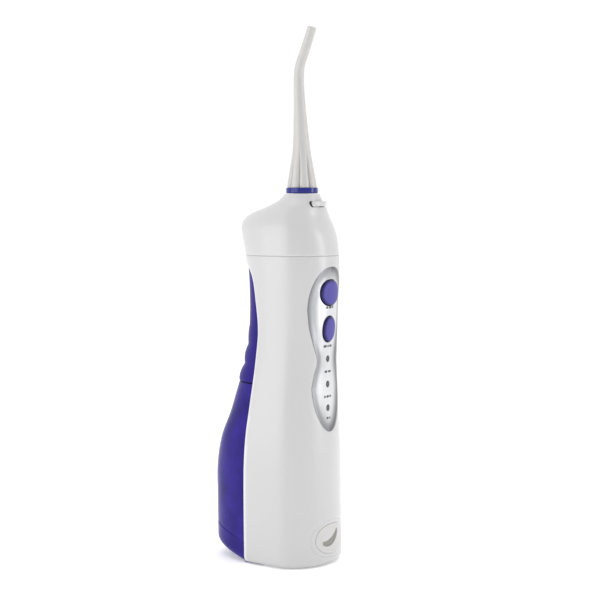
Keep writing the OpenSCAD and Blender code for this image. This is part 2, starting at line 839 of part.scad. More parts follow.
module crank_gear() {
    color("#ededef")
        difference() {
            translate([0, gear_y, crank_z]) gear(crank_teeth, 1.5 + clear, gear_w);
            y_rod(crank_pin_r, gear_y - gear_w - 1, gear_y + 1, 0, crank_z + crank_r);
            for (a = [30 : 60 : 330])
                y_rod(2.2, gear_y - gear_w - 1, gear_y + 1, 7.8 * sin(a), crank_z + 7.8 * cos(a));
        }
}
module crank_pin() {
    color("#b9bcc0") y_rod(crank_pin_r, yoke_y - 2.4, gear_y - 0.5, 0, crank_z + crank_r);
}
module gear_axle() {
    color("#b9bcc0") y_rod(1.5, gear_y - gear_w - 0.1, plate_front + 2, 0, crank_z);
}

// ---------- neck, nozzle and latch ----------

module outlet_cup() {
    color("#e2e2e4")
        union() {
            difference() {
                translate([0, axis_y, 171.7]) cylinder(h = 10.8, r = 6.2);
                translate([0, axis_y, 174]) cylinder(h = 12, r = spigot_r + clear);
                x_rod(0.7, 0, 12, axis_y, 176.4);
            }
            difference() {
                x_rod(1.1, 5.8, 10, axis_y, 176.4);
                x_rod(0.7, 5, 12, axis_y, 176.4);
            }
        }
}

module neck_bushing() {
    color("#cfcfd2") z_tube(8.3, 7.1 + clear, 196.5, 199.8);
}

// Turning socket that the nozzle plugs into.
module nozzle_seat() {
    color("#e6e6e9")
        difference() {
            union() {
                translate([0, axis_y, 186]) cylinder(h = 10.8, r = 5.9);
                translate([0, axis_y, 196.3]) cylinder(h = 3.7, r = 7.1);
            }
            translate([0, axis_y, 180]) cylinder(h = 30, r = spigot_r + clear);
        }
}

nozzle_heights = [202.8, 206, 210, 216, 222, 229, 240, 250, 261, 267, 271, 275, 280, 284, tip_z];
nozzle_radius = [[202, 8], [206, 7.62], [211, 6.72], [216, 5.95], [222, 5], [229, 4.35], [240, 3.6],
    [250, 3.05], [261, 2.75], [267, 2.65], [tip_z, 2.4]];
// Forward (negative) and backward offset of the nozzle's centre line.
nozzle_bend = [[202, 0], [225, 0.4], [245, 1.4], [258, 2], [265, 1.9], [270, 0.9], [276, -1.6],
    [tip_z, -6.4]];
nozzle_path = [for (z = nozzle_heights) [0, axis_y + curve(nozzle_bend, z), z]];
// The water channel runs 1 mm past both ends of the nozzle.
nozzle_bore_path = [for (i = [0 : len(nozzle_path) - 1])
    nozzle_path[i] + [0, 0, i == 0 ? -1 : i == len(nozzle_path) - 1 ? 1 : 0]];
// Outline of one fin: [radius, height].
nozzle_fin = [[3, 203.2], [7.95, 203.2], [7.6, 207], [5.2, 226], [3, 226]];
module nozzle() {
    color("#cfcdc9")
        union() {
            resize([0, 0, 0])
                difference() {
                    union() {
                        skin(tube_rings(nozzle_path, [for (z = nozzle_heights) curve(nozzle_radius, z)],
                            20, [0, 1, 0]));
                        // Fins at the foot.
                        for (a = [0 : 60 : 300])
                            translate([0, axis_y, 0]) rotate([0, 0, a])
                                rotate([90, 0, 0])
                                    linear_extrude(height = 1, center = true)
                                        polygon(nozzle_fin);
                    }
                    skin(tube_rings(nozzle_bore_path, 0.9, 10, [0, 1, 0]));
                }
            difference() {
                union() {
                    translate([0, axis_y, 174.6]) cylinder(h = 28.2, r = spigot_r);
                    translate([0, axis_y, 200.4]) cylinder(h = 2.9, r = 6.5);
                }
                translate([0, axis_y, 170]) cylinder(h = 40, r = 0.9);
                translate([0, axis_y, 0])
                    difference() {
                        translate([0, 0, 179]) cylinder(h = 1.1, r = 5);
                        translate([0, 0, 178]) cylinder(h = 4, r = 3);
                    }
            }
        }
}
module nozzle_ring() {
    color("#2e3a76")
        translate([0, axis_y, 200.4])
            difference() {
                union() {
                    cylinder(h = 2.5, r = ring_r);
                    translate([0, 0, 2.5]) cylinder(h = 0.4, r1 = ring_r, r2 = ring_r - 0.3);
                }
                translate([0, 0, -1]) cylinder(h = 6, r = 6.52);
                translate([0, 0, 2.2]) cylinder(h = 6, r = 8.06);
            }
}
module nozzle_o_ring() {
    color("#1f1f22")
        translate([0, axis_y, 179.55]) rotate_extrude() translate([3.5, 0]) circle(r = 0.5, $fn = 20);
}

// Crescent ledge on the front of the neck.
module release_button() {
    color("#e4e4e6")
        difference() {
            intersection() {
                translate([0, axis_y, 193.3]) cylinder(h = 2.8, r = 13.2);
                translate([-7.1, -40, 190]) cube([14.2, 15.4, 10]);
            }
            translate([0, axis_y, 193]) cylinder(h = 4, r = 8.6);
        }
}
module latch_plate() {
    color("#b9bcc0")
        difference() {
            union() {
                translate([-3, -25, 183.6]) cube([6, 1, 9.7]);
                translate([-7, -24.1, 183.6]) cube([14, 15.6, 1.5]);
            }
            translate([0, axis_y, 183]) cylinder(h = 3, r = spigot_r + 0.2);
            translate([0, axis_y - 1.3, 183]) cylinder(h = 3, r = spigot_r + 0.2);
            translate([-spigot_r - 0.2, axis_y - 1.3, 183]) cube([2 * spigot_r + 0.4, 1.3, 3]);
        }
}
module release_spring() {
    color("#a8a8ae")
        translate([0, -8.4, 184.35]) rotate([-90, 0, 0]) coil(1.4, 0.25, 7, 4);
}

// ---------- power ----------

cell_x = 7.6;
module battery_cells() {
    color("#3f7d58")
        for (s = [-1, 1])
            union() {
                translate([s * cell_x, -15.6, 26]) cylinder(h = 49, r = 7.2);
                translate([s * cell_x, -15.6, 74.9]) cylinder(h = 1.3, r = 2.7);
            }
}
module battery_contacts() {
    color("#c8b070") {
        for (s = [-1, 1]) translate([s * cell_x - 4, -19.6, 25.4]) cube([8, 8, 0.6]);
        translate([-11.6, -19.6, 76.2]) cube([23.2, 8, 0.6]);
    }
}
module battery_holder() {
    color("#2e2e32")
        difference() {
            union() {
                translate([-16, -24.2, 23.2]) cube([32, 16.4, 55.8]);
                // Foot with the screw posts, and the legs that carry the tray.
                translate([-17, -28, 3.2]) cube([34, 16, 1.8]);
                for (p = base_screws) translate([p[0], p[1], 3.2]) cylinder(h = 5, r = 2.8);
                for (x = [-12, 9]) translate([x, -20, 3.2]) cube([3, 3, 20.1]);
            }
            translate([-15, -23.2, 25.4]) cube([30, 20, 51.4]);
            for (p = base_screws) translate([p[0], p[1], 2]) cylinder(h = 12, r = 1.3);
        }
}

wires = [
    [[-2, -26.8, 86], [-2, -25.7, 85], [-2, -25, 81], [-2, -25, 70], [-2, -25, 40], [-2.4, -25, 24],
     [-2.6, -24, 21], [-2.6, -21, 20], [-2.2, -19.4, 18], [-2, -19.7, 14]],
    [[4, -26.8, 88], [4, -25.5, 89], [8, -22, 96], [13.5, -14, 100], [15.4, -6, 103], [14.6, 2, 105.5],
     [11.6, 8.9, 107.2], [6.5, 9.6, 111.6]]];
module wiring() {
    color("#b03030")
        for (route = wires) skin(tube_rings(smooth_path(route, 2), 0.6, 8, [1, 0.2, 0.1]));
}

// ---------- fasteners ----------

module housing_screws() {
    color("#b0b0b4")
        for (p = base_screws)
            translate([p[0], p[1], 1.5]) rotate([180, 0, 0]) screw(1.25, 6, 2.4, 1.1);
}
module drive_screws() {
    color("#b0b0b4") {
        for (x = [-8, 8])
            translate([x, plate_front, motor_z]) rotate([90, 0, 0]) screw(1, 6.5, 1.8, 0.9);
    }
}

front_housing();
rear_housing();
head_cover();
head_seal();
grip_panel();
base_cover();
control_panel();
indicator_lenses();
power_button();
mode_button();
power_plunger();
mode_plunger();
port_cover();
charging_jack();
water_tank();
tank_lid();
lid_seal();
lid_pin();
tank_outlet();
intake_filter();
docking_port();
suction_hose();
pump_frame();
motor_can();
motor_end_bell();
motor_shaft();
drive_pinion();
crank_gear();
crank_pin();
gear_axle();
piston_yoke();
piston_head();
piston_seal();
pump_cylinder();
pump_head();
inlet_valve();
outlet_valve();
inlet_spring();
outlet_spring();
hose_fittings();
pressure_hose();
outlet_cup();
neck_bushing();
nozzle_seat();
nozzle();
nozzle_ring();
nozzle_o_ring();
release_button();
latch_plate();
release_spring();
battery_cells();
battery_holder();
battery_contacts();
control_board();
tact_switches();
leds();
wiring();
housing_screws();
drive_screws();
board_screws();
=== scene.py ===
import json
import math

import bmesh
import bpy
import numpy as np
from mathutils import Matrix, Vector
from mathutils.geometry import delaunay_2d_cdt


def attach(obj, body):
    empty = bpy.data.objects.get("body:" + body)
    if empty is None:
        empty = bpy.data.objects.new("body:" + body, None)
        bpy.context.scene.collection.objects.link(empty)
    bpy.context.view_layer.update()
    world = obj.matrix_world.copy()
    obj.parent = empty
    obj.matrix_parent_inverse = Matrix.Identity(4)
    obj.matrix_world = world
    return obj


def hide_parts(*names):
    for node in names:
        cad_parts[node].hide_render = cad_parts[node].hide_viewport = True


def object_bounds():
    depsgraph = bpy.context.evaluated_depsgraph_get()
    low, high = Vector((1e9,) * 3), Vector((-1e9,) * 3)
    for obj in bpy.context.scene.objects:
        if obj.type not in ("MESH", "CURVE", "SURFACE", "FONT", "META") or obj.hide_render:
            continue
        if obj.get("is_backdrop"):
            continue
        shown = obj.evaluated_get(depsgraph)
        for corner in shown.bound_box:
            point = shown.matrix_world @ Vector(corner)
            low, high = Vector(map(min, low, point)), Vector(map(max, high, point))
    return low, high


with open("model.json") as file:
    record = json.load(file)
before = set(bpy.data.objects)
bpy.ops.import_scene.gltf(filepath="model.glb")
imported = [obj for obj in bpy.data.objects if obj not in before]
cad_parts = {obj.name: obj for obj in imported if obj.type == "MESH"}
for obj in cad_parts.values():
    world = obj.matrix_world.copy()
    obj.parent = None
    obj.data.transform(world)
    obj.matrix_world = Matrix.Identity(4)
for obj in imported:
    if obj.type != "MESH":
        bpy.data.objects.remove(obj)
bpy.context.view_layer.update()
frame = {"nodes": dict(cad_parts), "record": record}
nodes = frame["nodes"]
MM = 0.001


def mm(rows):
    """Millimetres, as they stand in part.scad, to metres."""
    return np.array(rows, float) * MM


# ---------- camera ----------

AXIS_Y = -0.016                 # the body's own axis, in front of the origin
VIEW_DIR = Vector((0.839, 0.545, 0))
CAM_DISTANCE = 0.772
CAM_HEIGHT = 0.194
CAM_PITCH = math.radians(3.81)  # downwards
CAM_SIDE = -0.0011              # puts the body's axis a little right of the middle

side_dir = Vector((VIEW_DIR.y, -VIEW_DIR.x, 0))
camera = bpy.data.objects.new("camera", bpy.data.cameras.new("camera"))
bpy.context.scene.collection.objects.link(camera)
camera.location = Vector((0, AXIS_Y, CAM_HEIGHT)) - CAM_DISTANCE * VIEW_DIR + CAM_SIDE * side_dir
look = VIEW_DIR * math.cos(CAM_PITCH) - Vector((0, 0, math.sin(CAM_PITCH)))
camera.rotation_euler = look.to_track_quat("-Z", "Y").to_euler()
camera.data.sensor_width = 36
camera.data.lens = 85.6
camera.data.clip_start = 0.01
bpy.context.scene.camera = camera
bpy.context.scene.view_settings.view_transform = "Standard"

# ---------- shape of the body, the same formulas as in part.scad ----------

BASE_ROUND = 0.004
BLUE_INSET = 0.0008
SEAM_Z = 0.167
SEAM_GAP = 0.0004
NECK_Z = 0.2002
TANK_TOP = 0.0977
GRIP_Z = 0.09785
PANEL_TOP = 0.161
PANEL_LOW = 0.0725
POWER_Z = 0.1472
MODE_Z = 0.1276
POWER_HALF = mm([8.2, 6.9])
MODE_HALF = mm([5.5, 6.9])
INDICATOR_Z = mm([111.6, 97.9, 85.1])
LENS_R = 0.0016
JACK_Z = 0.0144
LID_Z = mm([66, 86])
LID_HALF = 0.009
HINGE_Z = 0.0636
TANK_FRONT = -0.0055

WIDTH_AT = mm([[0, 25.7], [30, 26], [60, 25.9], [88, 24.2], [110, 22.4], [131, 21.8], [160, 22.5],
               [174, 22.2], [182, 20.9], [188, 18.4], [193, 15.3], [197.5, 11.2], [200, 9.6], [203, 9]])
FRONT_AT = mm([[0, 20], [30, 19.5], [60, 18.9], [88, 17.8], [118, 17.8], [131, 18.7], [152, 19.4],
               [167, 19], [178, 17.2], [188, 13.1], [193, 11.8], [197.5, 10.3], [200, 9.6], [203, 9]])
REAR_AT = mm([[0, 52.8], [30, 53.1], [50, 53], [66, 50], [80, 43.8], [93, 39.2], [105, 35],
              [118, 31.7], [135, 30.3], [150, 30.3], [160, 31], [167, 32], [178, 34.6], [182, 35.6],
              [186, 34.9], [189.5, 30.4], [193, 20.7], [196.2, 13.4], [199.4, 9.8],
              [203, 9]])
# Edge between white and blue, seen from the side: height, Y.
EDGE_AT = mm([[-2, 6], [50, 6], [71, 5.1], [88, 3.2], [98, 2.1], [112, 0.8], [127, -0.3],
              [143, 1.7], [154, 3.9], [160, 8], [164.5, 17]])
WAIST_AT = mm([[97, 13.05], [103, 11.7], [110.5, 9.7], [119.5, 11.9], [128, 14.2], [138, 15.4]])


def curve(table, z):
    """Smooth curve through a table of height, value rows."""
    height, value = table[:, 0], table[:, 1]
    last = len(height) - 1
    before = np.maximum(np.arange(last + 1) - 1, 0)
    after = np.minimum(np.arange(last + 1) + 1, last)
    slope = (value[after] - value[before]) / (height[after] - height[before])
    c = np.clip(z, height[0], height[-1])
    i = np.clip(np.searchsorted(height, c, side="right") - 1, 0, last - 1)
    h = height[i + 1] - height[i]
    u = (c - height[i]) / h
    return ((2 * u**3 - 3 * u**2 + 1) * value[i] + (u**3 - 2 * u**2 + u) * h * slope[i]
            + (3 * u**2 - 2 * u**3) * value[i + 1] + (u**3 - u**2) * h * slope[i + 1])


def rear_power(z):
    return np.where(z < 0.182, 2.4, np.maximum(2, 2.4 - 40 * (z - 0.182)))


def ridge(z):
    """Three finger ridges on the grip, the lower ones prouder, with a narrow valley between."""
    wave = 1.22 * np.abs(np.cos(np.pi * (z - 0.102) / 0.011)) ** 0.9 - 0.22
    size = np.where(z < 0.1075, 0.0017, np.where(z < 0.1185, 0.0016, 0.0008))
    return np.where((z < 0.0965) | (z > 0.1295), 0, wave * size)


def panel_half_w(z):
    upper = 0.0154 * np.maximum(0, 1 - (np.maximum(z - 0.138, 0) / (PANEL_TOP - 0.138)) ** 2.3) ** (1 / 2.3)
    lower = 0.01305 * np.sqrt(np.maximum(0, 1 - (np.maximum(0.097 - z, 0) / (0.097 - PANEL_LOW)) ** 2))
    return np.where(z > 0.138, upper, np.where(z < 0.097, lower, curve(WAIST_AT, z)))


# The skin is drawn in a flat (s, t) plane: s goes round the body from the middle of the front,
# t goes up it. Both are close to real distances.
REF_Z = 0.06
turn_table = np.unique(np.concatenate([
    np.linspace(0, math.pi, 4001), math.pi / 2 + np.geomspace(1e-7, 0.02, 200),
    math.pi - np.geomspace(1e-7, 0.02, 200)]))


def section(turn, z, inset, rise=0.0):
    """X and Y at an angle from the front's middle, on the right-hand side."""
    rear = turn > math.pi / 2
    power = np.where(rear, rear_power(z), 2.0)
    reach = np.where(rear, curve(REAR_AT, z) + rise * np.abs(np.cos(turn)) ** 3, curve(FRONT_AT, z)) - inset
    x = (curve(WIDTH_AT, z) - inset) * np.abs(np.sin(turn)) ** (2 / power)
    y = AXIS_Y + np.where(rear, 1, -1) * reach * np.abs(np.cos(turn)) ** (2 / power)
    return x, y


ref_x, ref_y = section(turn_table, np.full(len(turn_table), REF_Z), 0.0)
s_table = np.concatenate([[0], np.cumsum(np.hypot(np.diff(ref_x), np.diff(ref_y)))])
HALF_ROUND = s_table[-1]

z_steps = np.linspace(BASE_ROUND, 0.203, 4000)
lean = np.gradient(curve(REAR_AT, z_steps), z_steps)
t_steps = BASE_ROUND + np.concatenate(
    [[0], np.cumsum(np.diff(z_steps) * np.hypot(1, 0.7 * (lean[1:] + lean[:-1]) / 2))])


def z_of(t):
    foot_angle = np.clip((BASE_ROUND - t) / BASE_ROUND, 0, math.pi / 2)
    return np.where(t < BASE_ROUND, BASE_ROUND * (1 - np.sin(foot_angle)), np.interp(t, t_steps, z_steps))


def t_of(z):
    z = np.asarray(z, float)
    foot = BASE_ROUND - BASE_ROUND * np.arcsin(np.clip(1 - z / BASE_ROUND, 0, 1))
    return np.where(z < BASE_ROUND, foot, np.interp(z, z_steps, t_steps))


def s_of_turn(turn):
    return np.interp(turn, turn_table, s_table)


def tank_rise(z, y):
    """The tank's underside climbs towards the back; the slope fades out further up."""
    left = (1 + np.cos(np.pi * np.clip((z - 0.014) / 0.042, 0, 1))) / 2
    return 0.25 * left * np.maximum(y - 0.006, 0)


class Sheet:
    """The body's skin, set in by inset, as a map from the (s, t) plane."""

    def __init__(self, inset=0.0, ridged=False, foot=1.0, relief=None, tilted=False):
        self.inset, self.ridged, self.foot, self.relief, self.tilted = inset, ridged, foot, relief, tilted

    def base(self, st):
        s = (st[:, 0] + HALF_ROUND) % (2 * HALF_ROUND) - HALF_ROUND
        z = z_of(st[:, 1])
        foot_angle = np.clip((BASE_ROUND - st[:, 1]) / BASE_ROUND, 0, math.pi / 2)
        inset = self.inset + self.foot * BASE_ROUND * (1 - np.cos(foot_angle))
        turn = np.interp(np.abs(s), s_table, turn_table)
        x, y = section(turn, z, inset, ridge(z) if self.ridged else 0.0)
        if self.tilted:
            z = z + tank_rise(z, y)
        return np.stack([np.sign(s) * x, y, z], 1)

    def slopes(self, st):
        h = 2e-5
        across = (self.base(st + [h, 0]) - self.base(st - [h, 0])) / (2 * h)
        up = (self.base(st + [0, h]) - self.base(st - [0, h])) / (2 * h)
        return across, up

    def normal(self, st):
        n = np.cross(*self.slopes(st))
        return n / np.linalg.norm(n, axis=1)[:, None]

    def at(self, st, depth=0.0, relief=True):
        """Points under the skin by depth, as a number or one for each point."""
        depth = np.broadcast_to(depth, len(st)).copy()
        if relief and self.relief:
            depth += self.relief(st)
        return self.base(st) - self.normal(st) * depth[:, None]

    def offset(self, st, dist, closed):
        """The line moved to its left by a real distance."""
        if closed:
            ahead = np.roll(st, -1, 0) - np.roll(st, 1, 0)
        else:
            wrap = st[-1] - st[0]
            ahead = np.concatenate([st[1:], [st[1] + wrap]]) - np.concatenate([[st[-2] - wrap], st[:-1]])
        across, up = self.slopes(st)
        tangent = across * ahead[:, :1] + up * ahead[:, 1:]
        tangent /= np.linalg.norm(tangent, axis=1)[:, None]
        left = np.cross(self.normal(st), tangent)
        a, b, c = (across * across).sum(1), (across * up).sum(1), (up * up).sum(1)
        p, q = dist * (across * left).sum(1), dist * (up * left).sum(1)
        moved = st + np.stack([(c * p - b * q), (a * q - b * p)], 1) / (a * c - b * b)[:, None]
        if not closed:
            moved[0, 0], moved[-1, 0] = st[0, 0], st[-1, 0]
        return moved


def resample(line, step, closed=False):
    """The line with points at even distances."""
    if closed:
        line = np.concatenate([line, line[:1]])
    run = np.concatenate([[0], np.cumsum(np.linalg.norm(np.diff(line, axis=0), axis=1))])
    count = max(3, int(round(run[-1] / step)))
    where = np.linspace(0, run[-1], count + 1)
    made = np.stack([np.interp(where, run, line[:, k]) for k in range(line.shape[1])], 1)
    return made[:-1] if closed else made


def rounded(points, radius, steps=6):
    """A closed outline through corner points, each corner rounded."""
    out = []
    n = len(points)
    for i in range(n):
        a, b, c = points[i - 1], points[i], points[(i + 1) % n]
        ra = min(radius, 0.45 * np.linalg.norm(a - b))
        rc = min(radius, 0.45 * np.linalg.norm(c - b))
        start = b + (a - b) / np.linalg.norm(a - b) * ra
        end = b + (c - b) / np.linalg.norm(c - b) * rc
        for u in np.linspace(0, 1, steps):
            out.append((1 - u) ** 2 * start + 2 * u * (1 - u) * b + u * u * end)
    return np.array(out)


def soften(line, radius, corners, closed=False):
    """The line with the corners at the given indexes cut back by radius and rounded."""
    out = []
    n = len(line)
    drop = np.zeros(n, bool)
    arcs = {}
    for k in corners:
        reach = np.linalg.norm(line - line[k], axis=1)
        order = (np.arange(n) - k + n // 2) % n - n // 2 if closed else np.arange(n) - k
        near = (reach < radius) & (np.abs(order) < n // 3)
        drop |= near
        first, last = order[near].min(), order[near].max()
        a, c = line[(k + first - 1) % n], line[(k + last + 1) % n]
        arcs[(k + first) % n] = [(1 - u) ** 2 * a + 2 * u * (1 - u) * line[k] + u * u * c
                                 for u in np.linspace(0, 1, 9)[1:-1]]
    for i in range(n):
        if i in arcs:
            out.extend(arcs[i])
        if not drop[i]:
            out.append(line[i])
    return np.array(out)


def in_loop(points, loop):
    x, y = points[:, :1], points[:, 1:]
    ax, ay = loop[:, 0], loop[:, 1]
    bx, by = np.roll(ax, -1), np.roll(ay, -1)
    rise = np.where(by == ay, 1e-12, by - ay)
    hits = ((ay > y) != (by > y)) & (x < (bx - ax) * (y - ay) / rise + ax)
    return hits.sum(1) % 2 == 1


def near(points, marks, dist):
    out = np.zeros(len(points), bool)
    for start in range(0, len(points), 2000):
        part = points[start:start + 2000]
        gap = ((part[:, None] - marks[None]) ** 2).sum(2).min(1)
        out[start:start + 2000] = gap < dist * dist
    return out


def fill(loops, ring, step, rows=()):
    """Even triangles between lines of the (s, t) plane. Returns the points inside and the triangles,
    whose numbers count the lines' points first."""
    edge = np.concatenate(loops)
    outer = np.concatenate(loops[:2]) if ring else loops[0]
    holes = loops[2:] if ring else loops[1:]
    low, high = outer.min(0), outer.max(0)
    row_t = np.arange(low[1] + step / 2, high[1], step * 0.87)
    for r in rows:
        row_t = row_t[np.abs(row_t - r[0]) > r[1]]
    grid = []
    if ring:
        columns = np.linspace(-HALF_ROUND, HALF_ROUND, int(2 * HALF_ROUND / step))
    for j, t in enumerate(row_t):
        if not ring:
            columns = np.arange(low[0] + (j % 2) * step / 2, high[0], step)
        grid.append(np.stack([columns, np.full(len(columns), t)], 1))
    for centre, spread, offsets in rows:
        for o in offsets:
            columns = np.arange(low[0], high[0], spread * 0.8)
            grid.append(np.stack([columns, np.full(len(columns), centre + o)], 1))
    grid = np.concatenate(grid) if grid else np.zeros((0, 2))
    if ring:
        seam = np.abs(np.abs(grid[:, 0]) - HALF_ROUND) < 1e-9
        inner = grid.copy()
        inner[:, 0] *= 1 - 1e-6
        keep = in_loop(inner, outer)
        top, bottom = loops[1][0, 1], loops[0][0, 1]
        keep |= seam & (grid[:, 1] > bottom + step / 2) & (grid[:, 1] < top - step / 2)
    else:
        keep = in_loop(grid, outer)
    for hole in holes:
        keep &= ~in_loop(grid, hole)
    grid = grid[keep]
    if len(grid):
        grid = grid[~near(grid, edge, 0.55 * step if not rows else 0.4 * step)]
    lines, start = [], 0
    for k, loop in enumerate(loops):
        n = len(loop)
        index = [(start + i, start + (i + 1) % n) for i in range(n if not (ring and k < 2) else n - 1)]
        lines.extend(index)
        start += n
    every = np.concatenate([edge, grid])
    flat = [Vector((p[0] / MM, p[1] / MM)) for p in every]
    made, _, faces, source, _, _ = delaunay_2d_cdt(flat, lines, [], 0, 1e-7)
    origin = [o[0] for o in source]
    triangles = np.array([[origin[i] for i in f] for f in faces if len(f) == 3])
    middle = every[triangles].mean(1)
    keep = in_loop(middle, outer)
    for hole in holes:
        keep &= ~in_loop(middle, hole)
    return every[len(edge):], triangles[keep]


def mesh_object(name, points, faces, sharp=math.radians(38), weld=0.0, marks=None):
    mesh = bpy.data.meshes.new(name)
    mesh.from_pydata([tuple(p) for p in points], [], [tuple(int(i) for i in f) for f in faces])
    # The marks are stored as a point attribute, and the materials paint highlight or shade along edges by
    # it.
    if marks is not None:
        painted_shading = mesh.attributes.new("painted_shading", "FLOAT", "POINT")
        painted_shading.data.foreach_set("value", np.asarray(marks, np.float32))
    made = bmesh.new()
    made.from_mesh(mesh)
    if weld:
        bmesh.ops.remove_doubles(made, verts=made.verts, dist=weld)
    loose = [v for v in made.verts if not v.link_faces]
    bmesh.ops.delete(made, geom=loose, context="VERTS")
    bmesh.ops.recalc_face_normals(made, faces=made.faces)
    made.to_mesh(mesh)
    made.free()
    for p in mesh.polygons:
        p.use_smooth = True
    mesh.set_sharp_from_angle(angle=sharp)
    obj = bpy.data.objects.new(name, mesh)
    bpy.context.scene.collection.objects.link(obj)
    return obj


def shell_mesh(sheet, loops, thick, step, ring=False, rows=(), mark=None):
    """Points, faces and a mark for each point, of a closed piece of skin. loops is a list of (line,
    lip radius, mark if not 1) with the material on the left; with ring, the first two lines go once
    round. The mark is 0 on the face and rises over the lip."""
    points, marks, faces = [], [], []

    def add(made, mark):
        start = sum(len(p) for p in points)
        points.append(made)
        marks.append(np.broadcast_to(mark, len(made)))
        return np.arange(start, start + len(made))

    def strip(a, b, closed):
        n = len(a)
        for i in range(n if closed else n - 1):
            j = (i + 1) % n
            faces.append((a[i], a[j], b[j], b[i]))

    tops = []
    rims = []
    for k, (line, lip, *tone) in enumerate(loops):
        tone = tone[0] if tone else 1.0
        closed = not (ring and k < 2)
        rings = []
        for phi in np.linspace(0, math.pi / 2, 5)[1:]:
            at = sheet.offset(line, lip * (1 - math.sin(phi)), closed)
            rings.append(add(sheet.at(at, lip * (1 - math.cos(phi))), tone * math.sin(phi)))
        depth = thick(line) if callable(thick) else thick
        rings.append(add(sheet.at(line, depth, relief=False), tone))
        rims.append((rings, closed))
        tops.append(sheet.offset(line, lip, closed))
    inside, triangles = fill(tops, ring, step, rows)
    every = np.concatenate(tops + [inside])
    front = add(sheet.at(every), mark(every) if mark else 0.0)
    depth = thick(every) if callable(thick) else thick
    back = add(sheet.at(every, depth, relief=False), 0.0)
    faces.extend(tuple(front[t]) for t in triangles)
    faces.extend(tuple(back[t][::-1]) for t in triangles)
    start = 0
    for (rings, closed), top in zip(rims, tops):
        n = len(top)
        run = [front[start:start + n]] + rings + [back[start:start + n]]
        for a, b in zip(run[:-1], run[1:]):
            strip(b, a, closed)
        start += n
    return np.concatenate(points), faces, np.concatenate(marks)


def shell(name, sheet, loops, thick, step, **more):
    points, faces, marks = shell_mesh(sheet, loops, thick, step, **more)
    return mesh_object(name, points, faces, weld=2e-7, marks=marks)


def rings_mesh(rings, close_ends=True):
    """Faces of a tube through rings of equal length, with its ends closed by one face each."""
    n, m = len(rings[0]), len(rings)
    faces = [(i * n + j, i * n + (j + 1) % n, (i + 1) * n + (j + 1) % n, (i + 1) * n + j)
             for i in range(m - 1) for j in range(n)]
    if close_ends:
        faces += [tuple(range(n))[::-1], tuple((m - 1) * n + j for j in range(n))]
    return np.concatenate(rings), faces


def round_rings(profile, count, centre=(0.0, AXIS_Y)):
    """Rings round a vertical axis through radius, height pairs."""
    a = np.linspace(0, 2 * math.pi, count, endpoint=False)
    return [np.stack([centre[0] + r * np.cos(a), centre[1] + r * np.sin(a), np.full(count, z)], 1)
            for r, z in profile]


def looped_rings(rings):
    """Faces of a ring-shaped tube: the last ring joins the first."""
    n, m = len(rings[0]), len(rings)
    faces = [(i * n + j, i * n + (j + 1) % n, ((i + 1) % m) * n + (j + 1) % n, ((i + 1) % m) * n + j)
             for i in range(m) for j in range(n)]
    return np.concatenate(rings), faces


def joined(parts):
    """Several (points, faces) as one."""
    points, faces, start = [], [], 0
    for p, f in parts:
        points.append(p)
        faces += [tuple(i + start for i in face) for face in f]
        start += len(p)
    return np.concatenate(points), faces


# ---------- outlines on the skin ----------

def front_line(xz, inset=0.0):
    """Line on the front, from X and Z, to the (s, t) plane."""
    x, z = xz[:, 0], xz[:, 1]
    width = curve(WIDTH_AT, z) - inset
    turn = np.arcsin(np.clip(np.abs(x) / width, 0, 1))
    return np.stack([np.sign(x) * s_of_turn(turn), t_of(z)], 1)


def back_line(xz, inset=0.0):
    """The same on the rear, with s counted past the middle of the back."""
    x, z = xz[:, 0], xz[:, 1]
    width = curve(WIDTH_AT, z) - inset
    turn = math.pi - np.arcsin(np.clip(np.abs(x) / width, 0, 1) ** (rear_power(z) / 2))
    s = s_of_turn(turn)
    return np.stack([np.where(x >= 0, s, 2 * HALF_ROUND - s), t_of(z)], 1)


def oval(half, z, grow=0.0, power=0.9, count=72):
    a = np.linspace(0, 2 * math.pi, count, endpoint=False)
    x = (half[0] + grow) * np.sign(np.cos(a)) * np.abs(np.cos(a)) ** power
    h = (half[1] + grow) * np.sign(np.sin(a)) * np.abs(np.sin(a)) ** power
    return np.stack([x, z + h], 1)


def clockwise(line):
    """A front_line hole's edge, turned so that the material lies on its left."""
    return line[::-1]


def turned_left(line):
    """The same closed line, running counterclockwise in (s, t)."""
    area = (line[:, 0] * np.roll(line[:, 1], -1) - np.roll(line[:, 0], -1) * line[:, 1]).sum()
    return line if area > 0 else line[::-1]


def panel_outline(grow, count=90):
    z = PANEL_LOW + (PANEL_TOP - PANEL_LOW) * (1 - np.cos(np.linspace(0, math.pi, count))) / 2
    right = np.stack([panel_half_w(z), z], 1)
    line = np.concatenate([right, np.stack([-right[-2:0:-1, 0], right[-2:0:-1, 1]], 1)])
    flat = resample(line, 0.0008, closed=True)
    ahead = np.roll(flat, -1, 0) - np.roll(flat, 1, 0)
    ahead /= np.linalg.norm(ahead, axis=1)[:, None]
    return flat + grow * np.stack([ahead[:, 1], -ahead[:, 0]], 1)


def edge_line():
    """White/blue edge on the right-hand side in (s, t), from the foot up to the top of the arch."""
    z = np.concatenate([np.linspace(0, 0.158, 300), np.linspace(0.158, 0.1645, 600)[1:]])
    foot = BASE_ROUND - np.sqrt(BASE_ROUND**2 - np.maximum(BASE_ROUND - z, 0) ** 2)
    ratio = (curve(EDGE_AT, z) - AXIS_Y) / (curve(REAR_AT, z) - foot)
    last = np.argmax(ratio >= 1)
    top_z = np.interp(1, ratio[last - 1:last + 1], z[last - 1:last + 1])
    turn = math.pi - np.arccos(np.clip(ratio[:last], 0, 1) ** (rear_power(z[:last]) / 2))
    line = np.stack([s_of_turn(turn), t_of(z[:last])], 1)
    return np.concatenate([line, [[HALF_ROUND, float(t_of(top_z))]]])


EDGE = edge_line()
FOOT_RIM_T = float(t_of(0.00054))        # lowest line of the white shell
white = Sheet()

# ---------- white shell ----------

